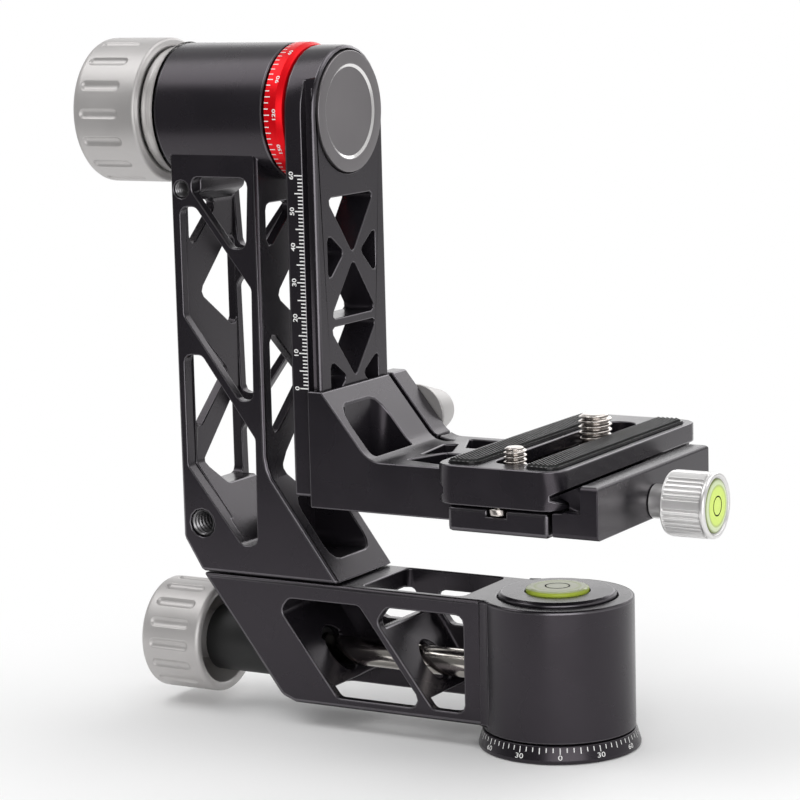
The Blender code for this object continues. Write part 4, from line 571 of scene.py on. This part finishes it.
def add_slot(mesh, rows, height, radius, turn):
    """A patch of a knob's side with a rounded slot sunk in it."""
    def vertex(side, place, depth):
        return mesh.verts.new(at("x", (0.0, height), radius - depth, turn + side / radius, place))

    border = SLOT_HALF + SLOT_BORDER
    rings = []
    for blend in (0.0, 0.3, 0.6, 0.85):
        rings.append([
            vertex(
                side + (border * out_side - side) * blend,
                place + (core + border * out - place) * blend,
                0.0,
            )
            for side, place, core, out_side, out in rows
        ])
    for offset, depth in SLOT_STEPS:
        size = SLOT_HALF + offset
        rings.append([
            vertex(size * out_side, core + size * out, depth) for _, _, core, out_side, out in rows
        ])
    join_rings(mesh, rings)
    mesh.faces.new(rings[-1])


def slotted(name, profile, height, radius, middle, length, body, node):
    """A turned knob with rounded slots round its side."""
    points = fillet(profile)
    span = next(i for i in range(len(points)) if points[i + 1][1] - points[i][1] > length)
    low, high = middle - length / 2 - 0.0005, middle + length / 2 + 0.0005
    mesh = bmesh.new()
    for part in (points[:span + 1] + [(radius, low)], [(radius, high)] + points[span + 1:]):
        join_rings(mesh, add_rings(mesh, "x", (0.0, height), part, ROUND_STEPS))
    rows = slot_rows(radius, low, high, middle, length)
    for i in range(KNOB_SLOTS):
        add_slot(mesh, rows, height, radius, PITCH * i)
    bmesh.ops.remove_doubles(mesh, verts=mesh.verts, dist=0.000001)
    bmesh.ops.recalc_face_normals(mesh, faces=mesh.faces)
    return even_normals(new_piece(name, mesh, SILVER, body, "silver_anodised", node))


def make_knobs():
    pan_radius, tilt_radius = 0.0165, 0.0210
    slotted("pan_knob_surface", [
        (0.0, -0.1301), (0.0083, -0.1301), (0.0083, -0.1310), (pan_radius, -0.1310, 0.0018),
        (pan_radius, -0.1105, 0.0013), (0.0137, -0.1105, 0.0009), (0.0137, -0.1260, 0.0010),
        (0.0070, -0.1260), (0.0070, -0.1123), (0.00435, -0.1123),
    ], ROD_HEIGHT, pan_radius, -0.1209, 0.0136, "pan_knob", "pan_knob")
    slotted("tilt_knob_surface", [
        (0.0, -0.1440), (0.0083, -0.1440), (0.0083, -0.1449), (tilt_radius, -0.1449, 0.0022),
        (tilt_radius, -0.1229, 0.0014), (0.0192, -0.1226, 0.0003), (0.0178, -0.1226),
        (0.0178, -0.1389), (0.0085, -0.1389), (0.0085, -0.1228), (0.0043, -0.1228),
    ], TILT_HEIGHT, tilt_radius, -0.13515, 0.0135, "tilt_knob", "tilt_knob")
    for node, outer, height in (
        ("pan_knob_cap", -0.1314, ROD_HEIGHT), ("tilt_knob_cap", -0.1453, TILT_HEIGHT),
    ):
        new_piece(f"{node}_surface", turned(fillet([
            (0.0, outer + 0.0002), (0.0062, outer + 0.0002, 0.0003), (0.0066, outer, 0.0003),
            (0.0080, outer, 0.0003), (0.0080, outer + 0.0014), (0.0, outer + 0.0014),
        ]), "x", (0.0, height), 96), GREY, body_of[node], "grey_cap", node)
    new_piece("tilt_collar_surface", turned(fillet([
        (0.0043, -0.1222), (0.0182, -0.1222, 0.0003), (0.0184, -0.1214, 0.0060),
        (0.0187, -0.1198, 0.0060), (0.0191, -0.1184, 0.0060), (0.0198, -0.1172),
    ], 8), "x", (0.0, TILT_HEIGHT), ROUND_STEPS), BRIGHT, "frame", "silver_anodised", "tilt_collar")
    new_piece("pan_rod_surface", turned(fillet([
        (0.0, -0.1257), (0.00405, -0.1257), (0.00405, -0.0143, 0.0004), (0.0, -0.0143),
    ]), "x", (0.0, ROD_HEIGHT), 96), CHROME, "pan_knob", "chrome_rod", "pan_rod")
    new_piece("pan_sleeve_surface", turned(fillet([
        (0.00435, -0.1120), (0.0098, -0.1120, 0.0005), (0.0098, -0.0840, 0.0003), (0.0060, -0.0840),
        (0.0060, -0.0765, 0.0005), (0.00435, -0.0765),
    ]), "x", (0.0, ROD_HEIGHT), 96), DARK, "frame", "dark_sleeve", "pan_sleeve")
    new_piece("height_knob_surface", turned(fillet([
        (0.0023, 0.0278), (0.0090, 0.0278, 0.0003), (0.0090, 0.0286, 0.0006),
        (0.0056, 0.0412, 0.0030), (0.0030, 0.0424, 0.0020), (0.0, 0.0424),
    ], 8), "y", (-0.0598, 0.0853), 96), SILVER, "height_knob", "silver_anodised", "height_knob")


CLAMP_KNOB_RADIUS = 0.00906
CLAMP_KNOB_STEPS = 360


def fluted_radius(angle):
    """Radius of the clamp knob's side: five narrow grooves, then a plain band, six times round."""
    first, pitch, half, depth = 2.5, 9.8, 2.4, 0.00052
    within = math.degrees(angle) % 60.0
    for i in range(5):
        off = abs(within - (first + pitch * i))
        if off < half:
            return CLAMP_KNOB_RADIUS - depth * math.cos(off / half * math.pi / 2)
    return CLAMP_KNOB_RADIUS


def make_clamp_knob():
    neck = [
        (0.0047, 0.0303), (0.0047, 0.0345), (0.0052, 0.0353), (0.0084, 0.0353), (0.0088, 0.0355),
        (0.0089, 0.0360), (0.0087, 0.0362),
    ]
    flutes = (0.0364, 0.0466)
    rim = [
        (0.0087, 0.0469), (0.0090, 0.0471), (CLAMP_KNOB_RADIUS, 0.0480), (0.0088, 0.0485),
        (0.0083, 0.0486), (0.0079, 0.0485), (0.0078, 0.0472), (0.0, 0.0472),
    ]
    centre = (0.0, CLAMP_AXIS)
    mesh = bmesh.new()
    rings = add_rings(mesh, "x", centre, neck, CLAMP_KNOB_STEPS)
    side = []
    for i in range(CLAMP_KNOB_STEPS):
        angle = math.tau * i / CLAMP_KNOB_STEPS
        side.append((fluted_radius(angle), angle))
    for along in flutes:
        rings.append([
            mesh.verts.new(at("x", centre, radius, angle, along)) for radius, angle in side
        ])
    rings += add_rings(mesh, "x", centre, rim, CLAMP_KNOB_STEPS)
    join_rings(mesh, rings)
    bmesh.ops.recalc_face_normals(mesh, faces=mesh.faces)
    even_normals(new_piece(
        "clamp_knob_surface", mesh, TURNED, "clamp_knob", "silver_anodised", "clamp_knob",
    ))


# Swing arm

def make_swing():
    dress("swing_arm", 0.0004)
    cap_back, cap_rim, dish, ring_radius = -0.0653, -0.0628, -0.0634, 0.01955
    new_piece("hub_cap_surface", turned(fillet([
        (0.0, cap_back), (0.01715, cap_back), (0.01715, cap_rim, 0.0003), (0.0136, cap_rim, 0.0002),
        (0.0125, dish, 0.0002), (0.0, dish),
    ]), "x", (0.0, TILT_HEIGHT), ROUND_STEPS), GREY, "swing", "grey_cap", "hub_cap")
    # A ring of bright silver on the dish's sloped wall of the grey cap: a painted highlight of the
    # light that the slope reflects.
    new_piece("hub_dish_painted_highlight", turned([
        (0.01255, -0.063353), (0.01335, -0.062916),
    ], "x", (0.0, TILT_HEIGHT), ROUND_STEPS), BRIGHT, "swing", "grey_cap")
    new_piece("angle_ring_surface", turned(fillet([
        (0.0123, -0.0795), (ring_radius, -0.0795, 0.0002), (ring_radius, -0.0757, 0.0002),
        (0.0188, -0.0740, 0.0002), (0.0123, -0.0740),
    ]), "x", (0.0, TILT_HEIGHT), ROUND_STEPS), RED, "swing", "red_ring", "angle_ring")
    mark_start, figure_place, zero = -0.0794, -0.0762, math.radians(60.0)

    def on_ring(x, y):
        return at("x", (0.0, TILT_HEIGHT), ring_radius + LIFT, zero - y / ring_radius, x)

    shapes = []
    for degrees in range(0, 360, DIAL_STEP):
        length = 0.00135 if degrees % DIAL_LONG else 0.00175
        y = -math.radians(degrees) * ring_radius
        shapes.append(bar(mark_start + length / 2, y, length, MARK_WIDTH))
        if degrees % DIAL_FIGURE == 0:
            shapes += moved(figure(str(degrees), 0.00110, 1.5), figure_place, y, math.pi / 2)
    marks("angle_marks", shapes, on_ring, "swing", "red_ring")
    ruler_zero, ruler_edge, figure_place, front = 0.0993, -0.0679, -0.0716, -0.01875

    def on_front(x, y):
        return Vector((x, front - LIFT, y))

    shapes = []
    for step in range(61):
        length = 0.0016 if step % 5 else 0.0027
        height = ruler_zero + step * MM
        shapes.append(bar(ruler_edge - length / 2, height, length, 0.00034))
        if step % 10 == 0:
            shapes += moved(figure(str(step), 0.0014, 1.2), figure_place, height, math.pi / 2)
    marks("ruler_marks", shapes, on_front, "swing", "black_anodised")


# Plate, pads and screws

def make_pad(name, side):
    """A rubber pad with rows of small four-sided points on a plain bed."""
    low, high = sorted((side * 0.0070, side * 0.0165))
    front, rear, corner, corner_steps = -0.0330, 0.0510, 0.0030, 6
    bottom, top, rise, sink = 0.0839, 0.0854, 0.00055, 0.00002
    pitch, base_share, tip_share, border = 0.00140, 0.49, 0.40, 0.0002
    outline = []
    for x, y, first in ((high, front, -90), (high, rear, 0), (low, rear, 90), (low, front, 180)):
        cx = x - corner if x == high else x + corner
        cy = y + corner if y == front else y - corner
        for i in range(corner_steps + 1):
            angle = math.radians(first + 90 / corner_steps * i)
            outline.append((cx + corner * math.cos(angle), cy + corner * math.sin(angle)))
    mesh = bmesh.new()
    add_block(mesh, outline, bottom, top - rise)

    def inside(x, y):
        dx = max(low + corner - x, 0.0, x - high + corner)
        dy = max(front + corner - y, 0.0, y - rear + corner)
        return math.hypot(dx, dy) < corner - border

    half = pitch * base_share
    for row in range(int((rear - front) / pitch * 2) + 2):
        y = front + row * pitch / 2
        for column in range(int((high - low) / pitch) + 3):
            x = low + (column - 1 + 0.5 * (row % 2)) * pitch
            corners = [(x - half, y), (x, y - half), (x + half, y), (x, y + half)]
            if not all(inside(*point) for point in corners):
                continue
            base = [mesh.verts.new((*point, top - rise - sink)) for point in corners]
            tip = [
                mesh.verts.new((x + tip_share * (a - x), y + tip_share * (b - y), top))
                for a, b in corners
            ]
            mesh.faces.new(tip)
            join_rings(mesh, [base, tip])
    pad = new_piece(f"{name}_surface", mesh, RUBBER, "plate", "rubber", name)
    for polygon in pad.data.polygons:
        polygon.use_smooth = False


def threaded(radius, depth, pitch, low, high, centre, steps=48):
    """A screw's threaded side from low to high, with a chamfered top that closes it."""
    per_pitch, chamfer, chamfer_rise = 12, 0.0003, 0.0002
    # The share of a pitch over which the thread runs out, and how the crest and root are flattened.
    run_out, steepness, root = 0.45, 1.6, 0.25
    core = radius - depth
    mesh = bmesh.new()
    rows = int((high - low) / pitch * per_pitch)
    rings = []
    for row in range(rows + 1):
        z = low + (high - low) * row / rows
        fade = min(1.0, (high - z) / (run_out * pitch))
        ring = []
        for i in range(steps):
            phase = (z / pitch - i / steps) % 1.0
            wave = min(1.0, max(0.0, steepness * (1.0 - abs(2.0 * phase - 1.0)) - root))
            size = core + depth * wave * fade
            ring.append(mesh.verts.new(at("z", centre, size, math.tau * i / steps, z)))
        rings.append(ring)
    rings.append(add_ring(mesh, "z", centre, core - chamfer, high + chamfer_rise, steps))
    join_rings(mesh, rings)
    mesh.faces.new(rings[-1])
    mesh.faces.new(list(reversed(rings[0])))
    return mesh


def make_screws():
    head_low, head_high, thread_low, neck_high = 0.0750, 0.0789, 0.0800, 0.0802
    slot_half, slot_reach, slot_low, slot_high = 0.00065, 0.02, 0.0740, 0.0763
    for size, y, radius, head, top, pitch in (
        ("small", -0.0237, 0.003175, 0.0062, 0.0881, 0.00127),
        ("large", 0.0252, 0.0047625, 0.0074, 0.0897, 0.0015875),
    ):
        body = f"{size}_screw"
        neck = radius - 0.0006
        mesh = threaded(radius, 0.61 * pitch, pitch, thread_low, top - 0.0002, (0.0, y))
        even_normals(new_piece(f"{size}_screw_thread", mesh, STEEL, body, "steel", f"{size}_screw"))
        head_piece = new_piece(f"{size}_screw_head", turned(fillet([
            (0.0, head_low), (head, head_low, 0.0004), (head, head_high, 0.0003), (neck, head_high),
            (neck, neck_high), (0.0, neck_high),
        ]), "z", (0.0, y), 64), STEEL, body, "steel")
        slot = bmesh.new()
        add_block(slot, bar(0.0, y, 2 * slot_half, 2 * slot_reach), slot_low, slot_high)
        cut_mesh(head_piece, slot, f"{size}_screw_slot")
        even_normals(head_piece)
        dress(f"{size}_screw_clip", 0.0002)


def make_jaw_marks():
    """Groups of three ticks on the slope of the clamp's jaw. Their x is a share of its width."""
    inner, outer = Vector((0.0197, 0.0786)), Vector((0.0249, 0.0808))
    along = outer - inner
    normal = Vector((-along.y, along.x)).normalized() * LIFT
    first, pitch, apart = -0.030, 0.010, 0.0016
    shapes = []
    for i in range(7):
        y = first + pitch * i
        shapes.append(bar(0.62, y, 0.62, 0.00035))
        for side in (apart, -apart):
            shapes.append(bar(0.50, y + side, 0.34, 0.0003))

    def on_slope(x, y):
        point = inner + along * x + normal
        return Vector((point.x, y, point.y))

    marks("jaw_marks", shapes, on_slope, "clamp_jaw", "black_anodised")


def make_hole_threads():
    """The threads that show in the two holes of the upright arm's front."""
    steps, per_pitch = 40, 8
    front, clearance = -0.0152, 0.00012
    for name, place, radius, pitch, depth in (
        ("small_hole_thread", (-0.1110, 0.1543), 0.0026, 0.0010, 0.0080),
        ("large_hole_thread", (-0.1078, 0.0570), 0.0042, 0.0015875, 0.0100),
    ):
        mesh = bmesh.new()
        rows = int(depth / pitch * per_pitch)
        rings = []
        for row in range(rows, -1, -1):
            y = front + depth * row / rows
            ring = []
            for i in range(steps):
                phase = ((y - front + 0.0003) / pitch - i / steps) % 1.0
                size = radius - clearance - 0.5 * pitch * (1.0 - abs(2.0 * phase - 1.0))
                ring.append(mesh.verts.new(at("y", place, size, math.tau * i / steps, y)))
            rings.append(ring)
        join_rings(mesh, rings)
        new_piece(name, mesh, THREAD, "frame", "black_anodised")


def make_pieces():
    make_base()
    make_levels()
    make_knobs()
    make_clamp_knob()
    make_swing()
    for name, side in (("pad_left", -1), ("pad_right", 1)):
        make_pad(name, side)
    make_screws()
    make_jaw_marks()
    make_hole_threads()
    dress("lower_arm", 0.0005, angle=42.0)
    dress("upright_arm", 0.0004)
    for node in ("l_bracket", "bracket_jaw", "clamp_body"):
        dress(node, 0.0005)
    dress("quick_release_plate", 0.0004)
    dress("pan_cap", 0.0003)
    dress("clamp_jaw", 0.0003, clamp=True)
    for node in ("foot_screw_1", "foot_screw_2"):
        dress(node, 0.0002, BLACK)
    for node in ("stop_pin_front", "stop_pin_rear"):
        dress(node, 0.0003)
    for node, piece in frame["nodes"].items():
        if piece.hide_render:
            continue
        piece.data.materials.clear()
        piece.data.materials.append(SLOT_LOOKS[slot_of[node]])


# Floor, light and camera

CENTRE = (-0.05, 0.0, 0.11)
# Name, place, width and height, power.
LAMPS = (
    ("key", (0.70, -0.98, 0.26), (1.2, 0.9), 9.0),
    ("upper_left", (-0.59, -0.33, 1.01), (0.85, 0.6), 4.0),
    ("back_low", (-0.42, 1.05, 0.46), (1.2, 0.7), 2.6),
    ("back_high", (0.07, 1.03, 0.71), (0.7, 0.5), 1.9),
    ("over", (0.40, 0.25, 1.05), (0.8, 0.8), 4.0),
)
PHOTO_PIXELS = 800.0
FOCAL_PIXELS = 2868.3


def mathed(tree, operation, first, second):
    node = tree.nodes.new("ShaderNodeMath")
    node.operation = operation
    tree.links.new(first, node.inputs[0])
    tree.links.new(second, node.inputs[1])
    return node.outputs["Value"]


def shown_rays(tree):
    """One where a camera, glossy or transmission ray looks, and zero for the rest."""
    path = tree.nodes.new("ShaderNodeLightPath").outputs
    shown = mathed(tree, "MAXIMUM", path["Is Camera Ray"], path["Is Glossy Ray"])
    return mathed(tree, "MAXIMUM", shown, path["Is Transmission Ray"])


def make_world():
    """An even light. A camera ray sees white, and a reflection a pale backdrop that ends at the
    camera's side."""
    world = bpy.data.worlds.new("studio")
    bpy.context.scene.world = world
    world.use_nodes = True
    tree = world.node_tree
    parts = tree.nodes.new("ShaderNodeSeparateXYZ")
    place = tree.nodes.new("ShaderNodeTexCoord").outputs["Generated"]
    tree.links.new(place, parts.inputs["Vector"])
    backdrop = ranged(tree, parts.outputs["Y"], -0.75, 0.25, 0.14, 0.62, smooth=True)
    camera_ray = tree.nodes.new("ShaderNodeLightPath").outputs["Is Camera Ray"]
    shown = mathed(tree, "MAXIMUM", camera_ray, backdrop.outputs["Result"])
    strength = ranged(tree, shown_rays(tree), 0.0, 1.0, 0.50, 1.0)
    tree.links.new(shown, strength.inputs["To Max"])
    background = tree.nodes["Background"]
    background.inputs["Color"].default_value = (1.0, 1.0, 1.0, 1.0)
    tree.links.new(strength.outputs["Result"], background.inputs["Strength"])


def make_floor():
    """A pale sheet that keeps the shadow near the head and fades to the background's white."""
    left, right, front, rear, level = -0.47, 0.37, -0.25, 3.0, -0.0002
    fade_start, fade_end = 0.10, 0.22
    mesh = bmesh.new()
    corners = ((left, front), (right, front), (right, rear), (left, rear))
    mesh.faces.new([mesh.verts.new((x, y, level)) for x, y in corners])
    floor = add_object("floor", mesh_data("floor", mesh))
    material = bpy.data.materials.new("floor")
    material.use_nodes = True
    tree = material.node_tree
    shader = tree.nodes["Principled BSDF"]
    shader.inputs["Base Color"].default_value = (0.90, 0.90, 0.90, 1.0)
    shader.inputs["Roughness"].default_value = 0.9
    shader.inputs["Specular IOR Level"].default_value = 0.0
    shift = tree.nodes.new("ShaderNodeVectorMath")
    shift.operation = "SUBTRACT"
    shift.inputs[1].default_value = (CENTRE[0], 0.0, 0.0)
    tree.links.new(tree.nodes.new("ShaderNodeTexCoord").outputs["Object"], shift.inputs[0])
    length = tree.nodes.new("ShaderNodeVectorMath")
    length.operation = "LENGTH"
    tree.links.new(shift.outputs["Vector"], length.inputs[0])
    far = ranged(tree, length.outputs["Value"], fade_start, fade_end, 0.0, 1.0, smooth=True)
    white = tree.nodes.new("ShaderNodeEmission")
    mix = tree.nodes.new("ShaderNodeMixShader")
    fade = mathed(tree, "MULTIPLY", shown_rays(tree), far.outputs["Result"])
    tree.links.new(fade, mix.inputs["Fac"])
    tree.links.new(shader.outputs["BSDF"], mix.inputs[1])
    tree.links.new(white.outputs["Emission"], mix.inputs[2])
    tree.links.new(mix.outputs["Shader"], tree.nodes["Material Output"].inputs["Surface"])
    floor.data.materials.append(material)


def make_lights():
    for name, place, size, power in LAMPS:
        lamp = bpy.data.lights.new(name, "AREA")
        lamp.shape = "RECTANGLE"
        lamp.size, lamp.size_y = size
        lamp.energy = power
        holder = add_object(name, lamp)
        holder.location = place
        holder.rotation_euler = (Vector(CENTRE) - Vector(place)).to_track_quat("-Z", "Y").to_euler()


def make_camera():
    """The camera that the sizes were read through."""
    azimuth, elevation, roll = math.radians(29.88), math.radians(8.87), math.radians(-1.41)
    level = math.cos(elevation)
    back = Vector((math.sin(azimuth) * level, -math.cos(azimuth) * level, math.sin(elevation)))
    right = Vector((math.cos(azimuth), math.sin(azimuth), 0.0))
    down = (-back).cross(right)
    c, s = math.cos(roll), math.sin(roll)
    side, under = c * right - s * down, s * right + c * down
    camera = bpy.data.cameras.new("camera")
    camera.sensor_width = 36.0
    camera.lens = FOCAL_PIXELS * camera.sensor_width / PHOTO_PIXELS
    camera.shift_x = -0.0174
    camera.shift_y = -0.0087
    camera.clip_start = 0.01
    holder = add_object("camera", camera)
    turn = Matrix((side, -under, back)).transposed().to_4x4()
    holder.matrix_world = Matrix.Translation((0.3552, -0.6957, 0.2219)) @ turn
    bpy.context.scene.camera = holder


make_pieces()
make_world()
make_floor()
make_lights()
make_camera()
bpy.context.scene.view_settings.view_transform = "Standard"
